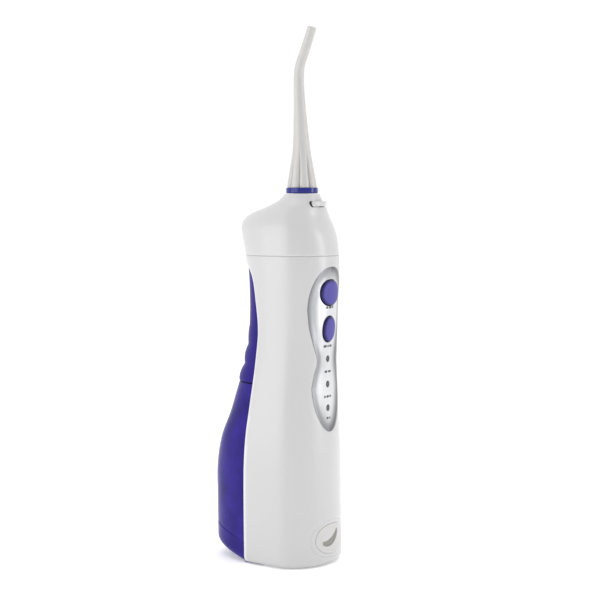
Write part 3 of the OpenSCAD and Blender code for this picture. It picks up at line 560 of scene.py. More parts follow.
side = EDGE[EDGE[:, 1] > FOOT_RIM_T]
side = np.concatenate([[[np.interp(FOOT_RIM_T, EDGE[:, 1], EDGE[:, 0]), FOOT_RIM_T]], side])
side = resample(side, 0.0007)
bottom_s = np.linspace(-side[0, 0], side[0, 0], 120)
bottom = np.stack([bottom_s, np.full(len(bottom_s), FOOT_RIM_T)], 1)
left_side = np.stack([-side[::-1, 0], side[::-1, 1]], 1)
lower = np.concatenate([left_side, bottom[1:-1], side])
lower = soften(lower, 0.0012, [len(left_side) - 1, len(left_side) + len(bottom) - 2])
round_s = np.linspace(-HALF_ROUND, HALF_ROUND, 220)


def ring_line(z, down=False):
    line = np.stack([round_s, np.full(len(round_s), float(t_of(z)))], 1)
    return line[::-1] if down else line


PORT_HALF = mm([13.2, 8.6])
SURROUND_HALF = mm([15.9, 10.1])


def line_distance(st, line):
    out = np.empty(len(st))
    for start in range(0, len(st), 2000):
        part = st[start:start + 2000]
        out[start:start + 2000] = np.sqrt(((part[:, None] - line[None]) ** 2).sum(2).min(1))
    return out


blue_sides = np.concatenate([left_side, side])


def lip_light(st):
    """Painted highlight: 1 along the edge beside the blue parts, fading away from it."""
    return 0.8 * np.exp(-(line_distance(st, blue_sides) / 0.0013) ** 2)


# The lower outline's lip and the edge beside the blue get painted highlight; the seam, panel and port lips
# get none.
front_shell = shell("front_shell", white, [
    (lower, 0.0007, 0.9),
    (ring_line(SEAM_Z - SEAM_GAP / 2, down=True), 0.00022, 0.0),
    (clockwise(front_line(panel_outline(0.00015))), 0.0004, 0.0),
    (clockwise(front_line(oval(SURROUND_HALF, JACK_Z))), 0.00018, 0.0)],
    0.002, 0.0016, ring=True, mark=lip_light)
# The surround's lips get painted highlight from the white's edge colour.
port_surround = shell("port_surround", white, [
    (front_line(oval(SURROUND_HALF, JACK_Z, -0.00004)), 0.00018),
    (clockwise(front_line(oval(PORT_HALF, JACK_Z))), 0.00025)], 0.002, 0.0009)


def head_thick(st):
    """Thinner at the neck, where the nozzle's seat needs the room."""
    return np.interp(z_of(st[:, 1]), mm([167, 184, 197, 203]), mm([2, 2, 1.1, 0.95]))


slot_corners = mm([[-7.2, 192.95], [7.2, 192.95], [7.2, 196.2], [-7.2, 196.2]])
slot_line = front_line(resample(rounded(slot_corners, 0.0014), 0.0004, closed=True))
# The head's lips at the seam, the neck and the slot get painted highlight from the white's edge colour.
head_shell = shell("head_shell", white, [
    (ring_line(SEAM_Z + SEAM_GAP / 2), 0.00022),
    (ring_line(NECK_Z, down=True), 0.0005),
    (clockwise(slot_line), 0.0003)],
    head_thick, 0.0012, ring=True)

head_seal = shell("head_seal_band", Sheet(0.00028), [
    (ring_line(SEAM_Z - SEAM_GAP / 2), 0.00003),
    (ring_line(SEAM_Z + SEAM_GAP / 2, down=True), 0.00003)], 0.0010, 0.0012, ring=True)

# ---------- control panel ----------

PANEL_INSET = 0.0005
panel_line = front_line(panel_outline(0.0), PANEL_INSET)
DISH_DEPTH = 0.0006
DISH_WIDTH = 0.0052


def dish(st):
    u = np.clip(line_distance(st, panel_line) / DISH_WIDTH, 0, 1)
    return DISH_DEPTH * (3 * u**2 - 2 * u**3)


panel_sheet = Sheet(PANEL_INSET, relief=dish)
# The lips of the button and lens holes get half-strength painted shade.
panel_holes = [(clockwise(front_line(oval(half, z, 0.0003), PANEL_INSET)), 0.0002, 0.5)
               for half, z in ((POWER_HALF, POWER_Z), (MODE_HALF, MODE_Z))]
for z in INDICATOR_Z:
    ring = oval((LENS_R, LENS_R), z, 0.00012, 1.0, 32)
    panel_holes.append((clockwise(front_line(ring, PANEL_INSET)), 0.0002, 0.5))


def panel_shade(st):
    """Painted shade: 1 at the panel's edge, falling to 0 where the dish ends, darker on the right-hand
    side.
    """
    away = line_distance(st, panel_line)
    right = st[:, 0] > 0
    wide = np.where(right, 0.95, 0.74) * np.exp(-(away / np.where(right, 0.0052, 0.0066)) ** 2)
    return np.maximum(wide, 0.95 * np.exp(-(away / 0.0009) ** 2))


# The panel's edge and dish carry painted shade in a near-black edge colour.
control_panel = shell("silver_panel", panel_sheet, [(panel_line, 0.0003)] + panel_holes, 0.0016, 0.0008,
                      mark=panel_shade)

buttons = []
for label, half, z in (("power", POWER_HALF, POWER_Z), ("mode", MODE_HALF, MODE_Z)):
    cap = Sheet(-0.00025)
    line = front_line(oval(half, z, count=96), -0.00025)
    # The rounded side of each cap carries painted shade in dark navy.
    buttons.append(shell(label + "_cap", cap, [(line, 0.0015)], 0.0026, 0.0007))

lens_parts = []
for z in INDICATOR_Z:
    line = front_line(oval((LENS_R, LENS_R), z, -0.00005, 1.0, 32))
    p, f, _ = shell_mesh(Sheet(0.0013), [(line, 0.0004)], 0.001, 0.0005)
    lens_parts.append((p, f))
lenses = mesh_object("indicator_lens", *joined(lens_parts))

# Printed marks beside the controls: plain dashes, each row's height and each dash's ends along X.
DASH_ROWS = [[139.3, [[-3.6, -1.9], [-1.2, 1.4], [2.1, 3.6]]],
             [118.4, [[-4.2, -1.4], [-0.7, 0.6], [1.3, 4.0]]],
             [104.7, [[-3.2, -0.6], [0.2, 3.2]]],
             [91.2, [[-3.6, -2.2], [-1.5, 0.9], [1.6, 3.4]]],
             [79.6, [[-1.9, 0.1], [0.8, 2.0]]]]
DASH_HALF = 0.62                # half the height of a dash, mm
mark_sheet = Sheet(PANEL_INSET - 0.00003, relief=dish)
mark_parts = []
for height, runs in DASH_ROWS:
    for x0, x1 in runs:
        low, high = height - DASH_HALF, height + DASH_HALF
        corners = mm([[x0, low], [x1, low], [x1, high], [x0, high]])
        line = front_line(resample(rounded(corners, 0.0004, 4), 0.0003, closed=True), PANEL_INSET)
        p, f, _ = shell_mesh(mark_sheet, [(line, 0.00002)], 0.0008, 0.0006)
        mark_parts.append((p, f))
dashes = mesh_object("panel_dashes", *joined(mark_parts))

# ---------- charging port ----------

# The recess's and the gasket's lips get painted highlight from the white's edge colour as well.
port_recess = shell("port_recess", Sheet(0.0013), [
    (front_line(oval(PORT_HALF, JACK_Z, 0.0001)), 0.0001),
    (clockwise(front_line(oval(mm([8.2, 5.1]), JACK_Z))), 0.0003)], 0.0009, 0.0011)

COVER_HALF = mm([12.9, 8.1])
port_gasket = shell("port_gasket", Sheet(0.00022), [
    (front_line(oval(PORT_HALF, JACK_Z, 0.00005)), 0.00005),
    (clockwise(front_line(oval(COVER_HALF, JACK_Z, 0.00008))), 0.00005)], 0.0009, 0.0006)


def cover_relief(st):
    """A shallow ring groove inside the cover's edge."""
    x = np.interp(np.abs(st[:, 0]), s_table, turn_table)
    x = np.sin(x) * curve(WIDTH_AT, z_of(st[:, 1]))
    r = np.hypot(x / COVER_HALF[0], (z_of(st[:, 1]) - JACK_Z) / COVER_HALF[1])
    return 0.00022 * np.exp(-((r - 0.78) / 0.045) ** 2) - 0.0001 * np.exp(-((r - 0.9) / 0.05) ** 2)


def smile(grow):
    """Outline of the finger notch: a crescent that opens upwards."""
    a = np.linspace(math.radians(198), math.radians(342), 40)
    outer = np.stack([(0.0078 + grow) * np.cos(a), 0.0026 + (0.0058 + grow) * np.sin(a)], 1)
    b = a[::-1]
    inner = np.stack([(0.0070 - grow) * np.cos(b), 0.0032 + (0.0024 - grow) * np.sin(b)], 1)
    line = np.concatenate([outer, inner])
    lean = math.radians(26)
    x = line[:, 0] * math.cos(lean) - line[:, 1] * math.sin(lean) - 0.0012
    z = line[:, 0] * math.sin(lean) + line[:, 1] * math.cos(lean) + JACK_Z
    return resample(np.stack([x, z], 1), 0.00035, closed=True)


cover_sheet = Sheet(-0.00015, relief=cover_relief)
port_cover = shell("port_flap_cover", cover_sheet, [
    (front_line(oval(COVER_HALF, JACK_Z)), 0.0003),
    (clockwise(front_line(smile(0.0))), 0.0002)], 0.0011, 0.0005)
plug = shell("port_flap_plug", Sheet(0.0009), [(front_line(oval(mm([7.4, 4.2]), JACK_Z)), 0.0003)],
             0.0017, 0.0012)
# The notch's floor is coloured dark grey as painted shade in the recess.
notch = shell("port_flap_notch", Sheet(0.0004), [(front_line(smile(0.0003)), 0.00005)], 0.0004, 0.0006)

# ---------- blue grip ----------

right_edge = resample(EDGE, 0.0007)


def back_loop(low_z, high_z, inset, gap, radius):
    """Closed line round the blue part between two heights, just inside the white edge. high_z None
    follows the arch over the top."""
    keep = right_edge[right_edge[:, 1] > float(t_of(low_z))]
    mirror = np.stack([2 * HALF_ROUND - keep[::-1, 0], keep[::-1, 1]], 1)
    arch = np.concatenate([keep, mirror[1:]])       # up the right, over the top, down the left
    sheet = Sheet(inset)
    ahead = np.gradient(arch, axis=0)
    across, up = sheet.slopes(arch)
    tangent = across * ahead[:, :1] + up * ahead[:, 1:]
    tangent /= np.linalg.norm(tangent, axis=1)[:, None]
    inward = -np.cross(sheet.normal(arch), tangent)
    a, b, c = (across * across).sum(1), (across * up).sum(1), (up * up).sum(1)
    p, q = gap * (across * inward).sum(1), gap * (up * inward).sum(1)
    arch = arch + np.stack([(c * p - b * q), (a * q - b * p)], 1) / (a * c - b * b)[:, None]
    if high_z is not None:
        top = float(t_of(high_z))
        right = arch[:len(keep)]
        right = right[right[:, 1] < top]
        right = np.concatenate([right, [[np.interp(top, arch[:len(keep), 1], arch[:len(keep), 0]), top]]])
    else:
        right = None
    foot = float(t_of(low_z))
    if right is not None:
        right = right[1:] if right[0, 1] < foot else right
        left = np.stack([2 * HALF_ROUND - right[::-1, 0], right[::-1, 1]], 1)
        roof_s = np.linspace(right[-1, 0], left[0, 0], 110)
        roof = np.stack([roof_s, np.full(110, top)], 1)
        floor_s = np.linspace(left[-1, 0], right[0, 0], 110)
        floor = np.stack([floor_s, np.full(110, right[0, 1])], 1)
        loop = np.concatenate([right, roof[1:-1], left, floor[1:-1]])
        n = len(right)
        corners = [0, n - 1, n + 108, 2 * n + 107]
    else:
        floor_s = np.linspace(arch[-1, 0], arch[0, 0], 110)
        floor = np.stack([floor_s, np.full(110, (arch[0, 1] + arch[-1, 1]) / 2)], 1)
        loop = np.concatenate([arch, floor[1:-1]])
        corners = [0, len(arch) - 1]
    loop = soften(loop, radius, corners, closed=True)
    return turned_left(loop)


def edge_shade(st):
    """Painted shade: 1 along the blue's side edges, which lie in the white edge's shade."""
    return 0.9 * np.exp(-(line_distance(st, blue_sides) / 0.0016) ** 2)


# The grip's lip and side edges carry painted shade in navy.
grip_sheet = Sheet(BLUE_INSET, ridged=True)
grip = shell("grip_skin", grip_sheet, [(back_loop(GRIP_Z, None, BLUE_INSET, 0.0004, 0.0014), 0.0006)],
             0.0024, 0.0010, mark=edge_shade)

# ---------- tank ----------

GROOVE_T = float(t_of(0.012))


def tank_relief(st):
    return 0.00032 * np.exp(-((st[:, 1] - GROOVE_T) / 0.00042) ** 2)


tank_sheet = Sheet(BLUE_INSET, foot=0.95, relief=tank_relief, tilted=True)
# Right half of the opening, from its foot up: hinge slot, a groove for the pin's end, the lid.
half_opening = mm([[4.9, 61.95], [4.9, 62.75], [6.85, 62.75], [6.85, 64.45], [4.9, 64.45],
                   [4.9, 65.65], [9.35, 65.65], [9.35, 86.35]])
opening = np.concatenate([half_opening, half_opening[::-1] * [-1, 1]])
opening = resample(rounded(opening, 0.0016), 0.0005, closed=True)
tank_loop = back_loop(0.0001, TANK_TOP, BLUE_INSET, 0.0004, 0.0014)
groove_rows = [(GROOVE_T, 0.0011, mm([-0.9, -0.55, -0.28, 0, 0.28, 0.55, 0.9]))]
hole_line = clockwise(turned_left(back_line(opening, BLUE_INSET)))
# The tank's lips and side edges carry painted shade in navy.
tank_points, tank_faces, tank_marks = shell_mesh(tank_sheet, [(tank_loop, 0.00055), (hole_line, 0.0003)],
                                                 0.0016, 0.0012, rows=groove_rows, mark=edge_shade)


def tank_path(z, inset, foot=0.0):
    """Half of the tank's outline at a height, from the middle of its front to the edge at the side."""
    back = curve(EDGE_AT, np.array([z]))[0] + 0.00035 + inset
    reach = curve(REAR_AT, np.array([z]))[0]
    ratio = (back - AXIS_Y) / (reach - BLUE_INSET)
    mouth = curve(WIDTH_AT, np.array([z]))[0] * (1 - ratio ** 2.4) ** (1 / 2.4)
    nose = mouth - 0.002 - 0.00045 - inset
    front = TANK_FRONT + inset
    r = 0.003
    arc = [[nose - r + r * math.cos(a), front + r + r * math.sin(a)]
           for a in np.radians([-90, -70, -50, -30, -15, 0])]
    half = [[0.0, front], [nose * 0.5, front]] + arc + [[nose, back - 0.0008], [nose + 0.0005, back]]
    half += [[mouth - BLUE_INSET - 0.0012 - inset - foot, back]]
    return np.array(half)


def plate(low, high, rear_inset, low_foot, high_foot, chamfer):
    """Slab that closes the tank at one end, with its rear edge just inside the skin."""
    rings = []
    for z, edge, foot in ((low, chamfer, low_foot), (low + chamfer, 0.0, low_foot),
                          (high - chamfer, 0.0, high_foot), (high, chamfer, high_foot)):
        half = tank_path(min(max(z, 0.001), TANK_TOP), edge)
        turn = np.linspace(0, 1, 26)
        start = half[-1]
        width = start[0]
        reach = curve(REAR_AT, np.array([z]))[0] - rear_inset - foot - edge
        base = (start[1] - AXIS_Y) / reach
        a0 = math.acos(min(1, base ** 1.2))
        a = a0 * (1 - turn[1:])
        x = (curve(WIDTH_AT, np.array([z]))[0] - rear_inset - foot - edge) * np.abs(np.sin(a)) ** (2 / 2.4)
        y = AXIS_Y + reach * np.abs(np.cos(a)) ** (2 / 2.4)
        x = np.minimum(x, width)
        right = np.concatenate([half, np.stack([x, y], 1)])
        left = right[-2:0:-1] * [-1, 1]
        outline = np.concatenate([right, left])
        rise = tank_rise(z, outline[:, 1])
        rings.append(np.concatenate([outline, (z + rise)[:, None]], 1))
    return rings_mesh(rings)


def tank_wall_mesh():
    """Front and sides of the tank, open towards the skin at the back."""
    rings = []
    for z in np.linspace(0.0012, TANK_TOP - 0.0012, 40):
        out = tank_path(z, 0.0)
        inner = tank_path(z, 0.0016)
        half_out = np.concatenate([out[::-1] * [-1, 1], out[1:]])
        half_in = np.concatenate([inner[::-1] * [-1, 1], inner[1:]])[::-1]
        outline = np.concatenate([half_out, half_in])
        rings.append(np.concatenate([outline, np.full((len(outline), 1), z)], 1))
    return rings_mesh(rings)


hinge_y = curve(REAR_AT, np.array([HINGE_Z]))[0] + AXIS_Y - 0.0022


def x_barrel(r, x0, x1, y, z, count=40):
    """Small bar along X with softened ends."""
    a = np.linspace(0, 2 * math.pi, count, endpoint=False)
    rings = []
    for x, k in ((x0, 0.82), (x0 + 0.0003, 1), (x1 - 0.0003, 1), (x1, 0.82)):
        rings.append(np.stack([np.full(count, x), y + k * r * np.cos(a), z + k * r * np.sin(a)], 1))
    return rings_mesh(rings)


def bar_mesh(outline, half):
    """Bar along X, between -half and half, with an outline of (Y, Z) points."""
    return rings_mesh([np.concatenate([np.full((len(outline), 1), x), outline], 1) for x in (-half, half)])


def hinge_trough():
    """Part of a tube behind the hinge that closes the slot towards the water."""
    a = np.radians(np.linspace(95, 285, 24))
    outline = np.concatenate([np.stack([0.0023 * np.cos(a), 0.0023 * np.sin(a)], 1),
                              np.stack([0.0016 * np.cos(a[::-1]), 0.0016 * np.sin(a[::-1])], 1)])
    return bar_mesh(outline + [hinge_y, HINGE_Z], 0.0072)


tank_parts = joined([
    (tank_points, tank_faces), tank_wall_mesh(),
    plate(TANK_TOP - 0.0016, TANK_TOP, BLUE_INSET + 0.0006, 0.0, 0.0, 0.0004),
    plate(0.0, 0.0016, BLUE_INSET + 0.0005, 0.0038, 0.0012, 0.0003),
    hinge_trough()])
tank_marks = np.pad(tank_marks, (0, len(tank_parts[0]) - len(tank_marks)))
tank = mesh_object("tank_skin", *tank_parts, weld=2e-7, marks=tank_marks)

# ---------- filling lid ----------

lid_corners = np.array([[LID_HALF, LID_Z[0]], [LID_HALF, LID_Z[1]],
                        [-LID_HALF, LID_Z[1]], [-LID_HALF, LID_Z[0]]])
lid_outline = resample(rounded(lid_corners, 0.0022), 0.0006, closed=True)
lid_line = turned_left(back_line(lid_outline, BLUE_INSET))


def lid_relief(st):
    """A dimple to put a fingertip in."""
    z = z_of(st[:, 1])
    gap = np.hypot((st[:, 0] - HALF_ROUND) / 0.0052, (z - 0.0805) / 0.0021)
    return 0.0005 * np.exp(-gap ** 4)


lid_points, lid_faces, _ = shell_mesh(Sheet(BLUE_INSET - 0.0001, relief=lid_relief), [(lid_line, 0.0004)],
                                      0.0012, 0.0007)
web = np.array([hinge_y, HINGE_Z]) + mm([[-0.6, 0], [0.8, 0], [0.7, 3.3], [-0.6, 3.3]])
lid = mesh_object("tank_lid_skin", *joined([
    (lid_points, lid_faces), x_barrel(0.00128, -0.0046, 0.0046, hinge_y, HINGE_Z), bar_mesh(web, 0.0042)]))

# ---------- nozzle ----------

BORE_R = 0.0009
NOZZLE_R = mm([[202, 8], [206, 7.62], [211, 6.72], [216, 5.95], [222, 5], [229, 4.35], [240, 3.6],
               [250, 3.05], [261, 2.75], [267, 2.65], [288.6, 2.4]])
NOZZLE_BEND = mm([[202, 0], [225, 0.4], [245, 1.4], [258, 2], [265, 1.9], [270, 0.9], [276, -1.6],
                  [288.6, -6.4]])
NOZZLE_TIP = 0.2886
LOBES = 8


def nozzle_rings():
    count = 128
    a = np.linspace(0, 2 * math.pi, count, endpoint=False)
    heights = np.concatenate([np.linspace(0.2028, 0.232, 60), np.linspace(0.232, NOZZLE_TIP, 80)[1:]])
    path = np.stack([np.zeros(len(heights)), AXIS_Y + curve(NOZZLE_BEND, heights), heights], 1)
    tilt = np.gradient(path[:, 1], path[:, 2])
    outer, bore = [], []
    for k, z in enumerate(heights):
        ahead = np.array([0, tilt[k], 1]) / math.hypot(1, tilt[k])
        across = np.array([1.0, 0, 0])
        up = np.cross(ahead, across)
        fade = np.clip((0.229 - z) / 0.022, 0, 1)
        fade = fade * fade * (3 - 2 * fade)
        lobe = np.abs(np.cos(LOBES / 2 * a)) ** 0.55
        r = curve(NOZZLE_R, np.array([z]))[0] + 0.0002 * fade - 0.0013 * fade * (1 - lobe)
        circle = np.cos(a)[:, None] * across + np.sin(a)[:, None] * up
        outer.append(path[k] + np.broadcast_to(r, count)[:, None] * circle)
        bore.append(path[k] + BORE_R * circle)
    for shrink, lift in ((0.0003, 0.00018), (0.0007, 0.00028)):
        circle = outer[-1 if shrink == 0.0003 else -2] - path[-1]
        size = np.linalg.norm(circle, axis=1)[:, None]
        outer.append(path[-1] + circle / size * (0.0024 - shrink) + ahead * lift)
    below = round_rings([(BORE_R, 0.1746), (0.0034, 0.1746), (0.0039, 0.1749), (0.004, 0.1753),
                         (0.004, 0.179), (0.003, 0.179), (0.003, 0.1801), (0.004, 0.1801),
                         (0.004, 0.2004), (0.0063, 0.2004), (0.0065, 0.2006), (0.0065, 0.2028),
                         (0.0075, 0.2028)], count)
    foot = outer[0].copy()
    foot[:, :2] = [0, AXIS_Y] + (foot[:, :2] - [0, AXIS_Y]) * 0.97
    outer[0] = foot
    return below + outer + bore[::-1]


nozzle_points, nozzle_faces = looped_rings(nozzle_rings())
nozzle = mesh_object("nozzle_body", nozzle_points, nozzle_faces, sharp=math.radians(50))


ring_profile = rounded(mm([[6.52, 200.25], [8.65, 200.25], [8.65, 203.3], [8.06, 203.3], [8.06, 202.6],
                           [6.52, 202.6]]), 0.0006, 6)
nozzle_ring = mesh_object("nozzle_band", *looped_rings(round_rings(ring_profile, 128)))

# ---------- release tab ----------


def tab_outline():
    """Crescent on the front of the neck, seen from above. Its rear half fits through the slot."""
    r_out = 0.0132
    reach = math.asin(0.0071 / 0.0132)
    a = np.linspace(-reach, reach, 40)
    out = np.stack([r_out * np.sin(a), -r_out * np.cos(a)], 1)
    ends = [[0.0062, -0.0107], [0.0051, -0.0093]]
    b = np.linspace(0.5, -0.5, 20)
    inner = np.stack([0.0088 * np.sin(b), -0.0088 * np.cos(b)], 1)
    line = np.concatenate([out, ends, inner, [[-e[0], e[1]] for e in ends[::-1]]])
    return resample(line, 0.0004, closed=True) + [0, AXIS_Y]


tab_rings = []
for z, inset in ((0.1933, 0.0006), (0.1935, 0.0002), (0.1938, 0.0), (0.1955, 0.0), (0.1958, 0.0002),
                 (0.1961, 0.0007)):
    line = tab_outline()
    middle = np.array([0, AXIS_Y - 0.0115])
    line = middle + (line - middle) * (1 - inset / 0.004)
    tab_rings.append(np.concatenate([line, np.full((len(line), 1), z)], 1))
release_tab = mesh_object("release_tab", *rings_mesh(tab_rings), sharp=math.radians(60))

# ---------- materials ----------


def new_material(name):
    mat = bpy.data.materials.new(name)
    mat.use_nodes = True
    tree = mat.node_tree
    return mat, tree, tree.nodes["Principled BSDF"]


def moulded(name, colour, rough, spec=0.5, coat=0.0, metal=0.0, grain=900, bump=0.05, vary=0.04,
            rough_vary=0.08, wear=0.25, wear_colour=None, transmission=0.0, sheen=0.0, painted_shading=None,
            drift_scale=22):
    """Moulded or metal surface: tone drift, fine grain in bump and roughness, lighter worn edges, and
    painted highlight or painted shade along the piece's marked edges when an edge colour is given.
    """
    mat, tree, shader = new_material(name)
    link = tree.links.new
    coords = tree.nodes.new("ShaderNodeTexCoord")
    drift = tree.nodes.new("ShaderNodeTexNoise")
    drift.inputs["Scale"].default_value = drift_scale
    drift.inputs["Detail"].default_value = 3
    fine = tree.nodes.new("ShaderNodeTexNoise")
    fine.inputs["Scale"].default_value = grain
    fine.inputs["Detail"].default_value = 4
    for n in (drift, fine):
        link(coords.outputs["Object"], n.inputs["Vector"])
    tone = tree.nodes.new("ShaderNodeMix")
    tone.data_type = "RGBA"
    tone.inputs[6].default_value = (*[c * (1 - vary) for c in colour], 1)
    tone.inputs[7].default_value = (*[min(1, c * (1 + vary)) for c in colour], 1)
    link(drift.outputs["Fac"], tone.inputs[0])
    geo = tree.nodes.new("ShaderNodeNewGeometry")
    edge = tree.nodes.new("ShaderNodeMapRange")
    edge.inputs["From Min"].default_value = 0.53
    edge.inputs["From Max"].default_value = 0.62
    edge.inputs["To Max"].default_value = wear
    link(geo.outputs["Pointiness"], edge.inputs["Value"])
    worn = tree.nodes.new("ShaderNodeMix")
    worn.data_type = "RGBA"
    light = wear_colour or [min(1, c * 1.25 + 0.02) for c in colour]
    worn.inputs[7].default_value = (*light, 1)
    link(edge.outputs["Result"], worn.inputs[0])
    link(tone.outputs[2], worn.inputs[6])
    final = worn
    if painted_shading:         # painted highlight on the white, painted shade on the silver, blues and buttons: the piece's own mark, highest along its edge, turns the colour to the given edge colour
        mark = tree.nodes.new("ShaderNodeAttribute")
        mark.attribute_name = "painted_shading"
        final = tree.nodes.new("ShaderNodeMix")
        final.data_type = "RGBA"
        final.inputs[7].default_value = (*painted_shading, 1)
        link(mark.outputs["Fac"], final.inputs[0])
        link(worn.outputs[2], final.inputs[6])
    link(final.outputs[2], shader.inputs["Base Color"])
    rough_map = tree.nodes.new("ShaderNodeMapRange")
    rough_map.inputs["To Min"].default_value = max(0.02, rough - rough_vary)
    rough_map.inputs["To Max"].default_value = min(1, rough + rough_vary)
    link(fine.outputs["Fac"], rough_map.inputs["Value"])
    link(rough_map.outputs["Result"], shader.inputs["Roughness"])
    relief = tree.nodes.new("ShaderNodeBump")
    relief.inputs["Strength"].default_value = bump
    relief.inputs["Distance"].default_value = 0.0001
    link(fine.outputs["Fac"], relief.inputs["Height"])
    link(relief.outputs["Normal"], shader.inputs["Normal"])
    shader.inputs["Metallic"].default_value = metal
    shader.inputs["Specular IOR Level"].default_value = spec
    shader.inputs["Coat Weight"].default_value = coat
    shader.inputs["Coat Roughness"].default_value = 0.08
    shader.inputs["Transmission Weight"].default_value = transmission
    if sheen:
        shader.inputs["Sheen Weight"].default_value = sheen
    return mat


LOOKS = {
    # The white's lighter edge colour is a painted highlight on its lips and along the blue.
    "white_shell": moulded("white_gloss", (0.50, 0.495, 0.498), 0.3, coat=0.1, vary=0.01, bump=0.004,
                           grain=3000, rough_vary=0.03, painted_shading=(0.80, 0.79, 0.82)),
    # The silver's near-black edge colour is painted shade round the panel's edge and holes.
    "silver_panel": moulded("silver_paint", (0.60, 0.605, 0.62), 0.3, metal=0.6, grain=5000, bump=0.02,
                            vary=0.015, painted_shading=(0.09, 0.09, 0.10)),
    # The blues' navy edge colour is painted shade along their side edges and lips.
    "grip_blue": moulded("grip_indigo", (0.020, 0.011, 0.16), 0.34, spec=0.06, vary=0.25, grain=4000,
                         bump=0.02, wear_colour=(0.03, 0.02, 0.28), painted_shading=(0.001, 0.001, 0.035)),
    "tank_blue": moulded("tank_indigo", (0.024, 0.014, 0.17), 0.22, spec=0.08, vary=0.55, drift_scale=90,
                         grain=4000, bump=0.015, wear_colour=(0.03, 0.02, 0.30), painted_shading=(0.001, 0.001, 0.035)),
    # The buttons' dark edge colour is painted shade on their rounded sides.
    "button_blue": moulded("button_violet", (0.062, 0.050, 0.28), 0.42, spec=0.3, vary=0.08, grain=5000,
                           bump=0.03, painted_shading=(0.004, 0.004, 0.05)),
    "ring_blue": moulded("ring_navy", (0.008, 0.014, 0.17), 0.14, spec=0.4, vary=0.1, grain=3000,
                         bump=0.01),
    "nozzle_frost": moulded("nozzle_frost", (0.56, 0.55, 0.535), 0.3, vary=0.02, transmission=0.2,
                            bump=0.01, grain=4000, rough_vary=0.04),
    "lens_dark": moulded("lens_smoke", (0.02, 0.02, 0.022), 0.14, coat=0.3, vary=0.1, grain=3000),
    "white_inner": moulded("white_inner", (0.5, 0.5, 0.505), 0.45, vary=0.02, grain=3000),
    "black_plastic": moulded("black_plastic", (0.018, 0.018, 0.02), 0.42, vary=0.15, grain=3000),
    "soft_rubber": moulded("soft_rubber", (0.03, 0.03, 0.034), 0.62, vary=0.15, bump=0.1, sheen=0.1),
    "port_silicone": moulded("port_silicone", (0.51, 0.503, 0.5), 0.4, vary=0.012, bump=0.01, grain=3000),
    "clear_hose": moulded("clear_hose", (0.78, 0.82, 0.83), 0.18, transmission=0.75, vary=0.03, bump=0.01),
    "steel": moulded("steel", (0.62, 0.62, 0.63), 0.28, metal=1.0, vary=0.05, grain=3000),
    "motor_steel": moulded("motor_steel", (0.45, 0.46, 0.47), 0.36, metal=1.0, vary=0.08, grain=3000),
    "brass_gear": moulded("brass", (0.70, 0.48, 0.20), 0.3, metal=1.0, vary=0.08, grain=3000),
    "nickel": moulded("nickel", (0.66, 0.62, 0.52), 0.28, metal=1.0, vary=0.05, grain=3000),
    "cell_wrap": moulded("cell_wrap", (0.05, 0.22, 0.10), 0.3, vary=0.06, coat=0.3),
    "board_green": moulded("board_green", (0.02, 0.12, 0.06), 0.35, vary=0.2, coat=0.3, grain=1800),
    "led_clear": moulded("led_clear", (0.75, 0.8, 0.9), 0.12, transmission=0.5, vary=0.03, bump=0.01),
    "wire_red": moulded("wire_red", (0.36, 0.03, 0.03), 0.4, vary=0.08, grain=3000),
}
mark_ink = moulded("mark_ink", (0.06, 0.06, 0.07), 0.5, vary=0.15, grain=4000)
# Painted shade for the finger notch's recess.
notch_shade = moulded("notch_shade", (0.24, 0.23, 0.21), 0.6, vary=0.1, grain=4000)
seal_grey = moulded("seal_grey", (0.40, 0.40, 0.405), 0.5, vary=0.03, grain=4000)
floor_white = moulded("floor_white", (0.95, 0.95, 0.95), 0.8, spec=0.1, vary=0.003, wear=0.0, bump=0.0)
glow = floor_white.node_tree.nodes["Principled BSDF"].inputs
glow["Emission Color"].default_value = (1, 1, 1, 1)
glow["Emission Strength"].default_value = 0.22

slot_of = {part["node"]: part["material_slot"] for part in frame["record"]["subparts"]}


def dress(obj, material):
    obj.data.materials.clear()
    obj.data.materials.append(material)


for name, obj in nodes.items():
    material = LOOKS[slot_of[name]]
    if obj.material_slots:
        for m in obj.material_slots:
            m.material = material
    else:
        obj.data.materials.append(material)

# ---------- pieces on their bodies ----------

PIECES = [
    (front_shell, "handle", "front_housing", "white_shell"),
    (head_shell, "handle", "head_cover", "white_shell"),
    (control_panel, "handle", "control_panel", "silver_panel"),
    (buttons[0], "power_key", "power_button", "button_blue"),
    (buttons[1], "mode_key", "mode_button", "button_blue"),
    (lenses, "handle", "indicator_lenses", "lens_dark"),
    (dashes, "handle", None, "lens_dark"),
    (head_seal, "handle", "head_seal", "white_inner"),
    (port_gasket, "handle", None, "white_shell"),
    (port_recess, "handle", None, "white_shell"),
    (port_surround, "handle", None, "white_shell"),
    (port_cover, "port_flap", "port_cover", "port_silicone"),
    (plug, "port_flap", None, "port_silicone"),
    (notch, "port_flap", None, "port_silicone"),
    (grip, "handle", "grip_panel", "grip_blue"),
    (tank, "tank", "water_tank", "tank_blue"),
    (lid, "lid", "tank_lid", "tank_blue"),
    (nozzle, "nozzle", "nozzle", "nozzle_frost"),
    (nozzle_ring, "nozzle", "nozzle_ring", "ring_blue"),
    (release_tab, "latch", "release_button", "white_shell"),
]
for obj, body, node, slot in PIECES:
    dress(obj, LOOKS[slot])
    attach(obj, body)
    if node:
        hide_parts(node)
dress(dashes, mark_ink)
dress(notch, notch_shade)
dress(head_seal, seal_grey)

# ---------- stage and light ----------

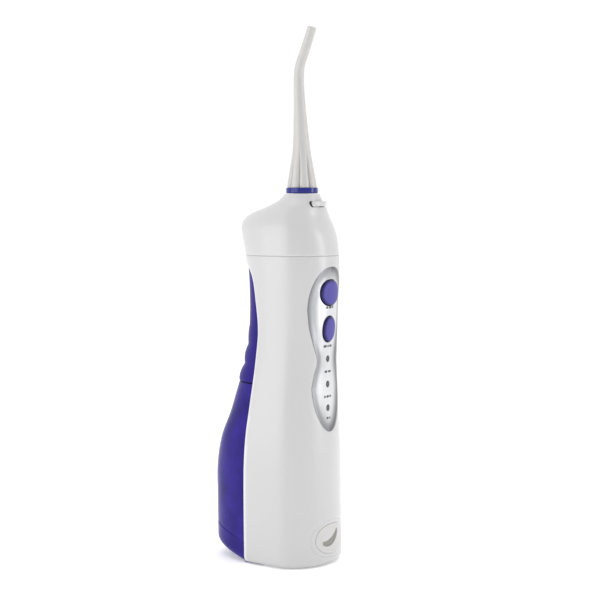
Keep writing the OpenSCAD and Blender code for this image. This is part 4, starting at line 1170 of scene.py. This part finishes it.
FLOOR_HALF = 6.0
floor_corners = FLOOR_HALF * np.array([[-1, -1, 0], [1, -1, 0], [1, 1, 0], [-1, 1, 0]], float)
floor = mesh_object("floor", floor_corners, [(0, 1, 2, 3)])
floor.location.z = -0.0002
dress(floor, floor_white)
floor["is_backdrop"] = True

# The room is white ahead of the camera and at the sides, and a little dimmer behind it.
world = bpy.data.worlds.new("world")
world.use_nodes = True
tree = world.node_tree
room = tree.nodes.new("ShaderNodeTexCoord")
turned = tree.nodes.new("ShaderNodeVectorMath")
turned.operation = "DOT_PRODUCT"
turned.inputs[1].default_value = VIEW_DIR
tree.links.new(room.outputs["Generated"], turned.inputs[0])
falloff = tree.nodes.new("ShaderNodeMapRange")
falloff.interpolation_type = "SMOOTHSTEP"
falloff.inputs["From Min"].default_value = -0.95
falloff.inputs["From Max"].default_value = 0.35
falloff.inputs["To Min"].default_value = 0.66
falloff.inputs["To Max"].default_value = 1.03
tree.links.new(turned.outputs["Value"], falloff.inputs["Value"])
backdrop = tree.nodes["Background"]
backdrop.inputs["Color"].default_value = (1, 1, 1, 1)
tree.links.new(falloff.outputs["Result"], backdrop.inputs["Strength"])
bpy.context.scene.world = world


def softbox(name, toward, distance, height, size, power):
    """Rectangular light in a direction from the body's axis, aimed at its middle."""
    light = bpy.data.lights.new(name, "AREA")
    light.shape = "RECTANGLE"
    light.size, light.size_y = size
    light.energy = power
    obj = bpy.data.objects.new(name, light)
    bpy.context.scene.collection.objects.link(obj)
    flat = Vector((toward[0], toward[1], 0)).normalized()
    middle = Vector((0, AXIS_Y, 0.14))
    obj.location = Vector((0, AXIS_Y, height)) + flat * distance
    obj.rotation_euler = (middle - obj.location).to_track_quat("-Z", "Y").to_euler()
    return obj


softbox("left_box", (-0.9, 0.43), 1.1, 0.3, (1.1, 1.0), 6.5)
softbox("right_strip", (0.40, -0.917), 1.1, 0.3, (0.34, 1.0), 4.2)
softbox("top_box", (0.4, 0.25), 0.25, 1.6, (1.4, 1.4), 7)

low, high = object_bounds()
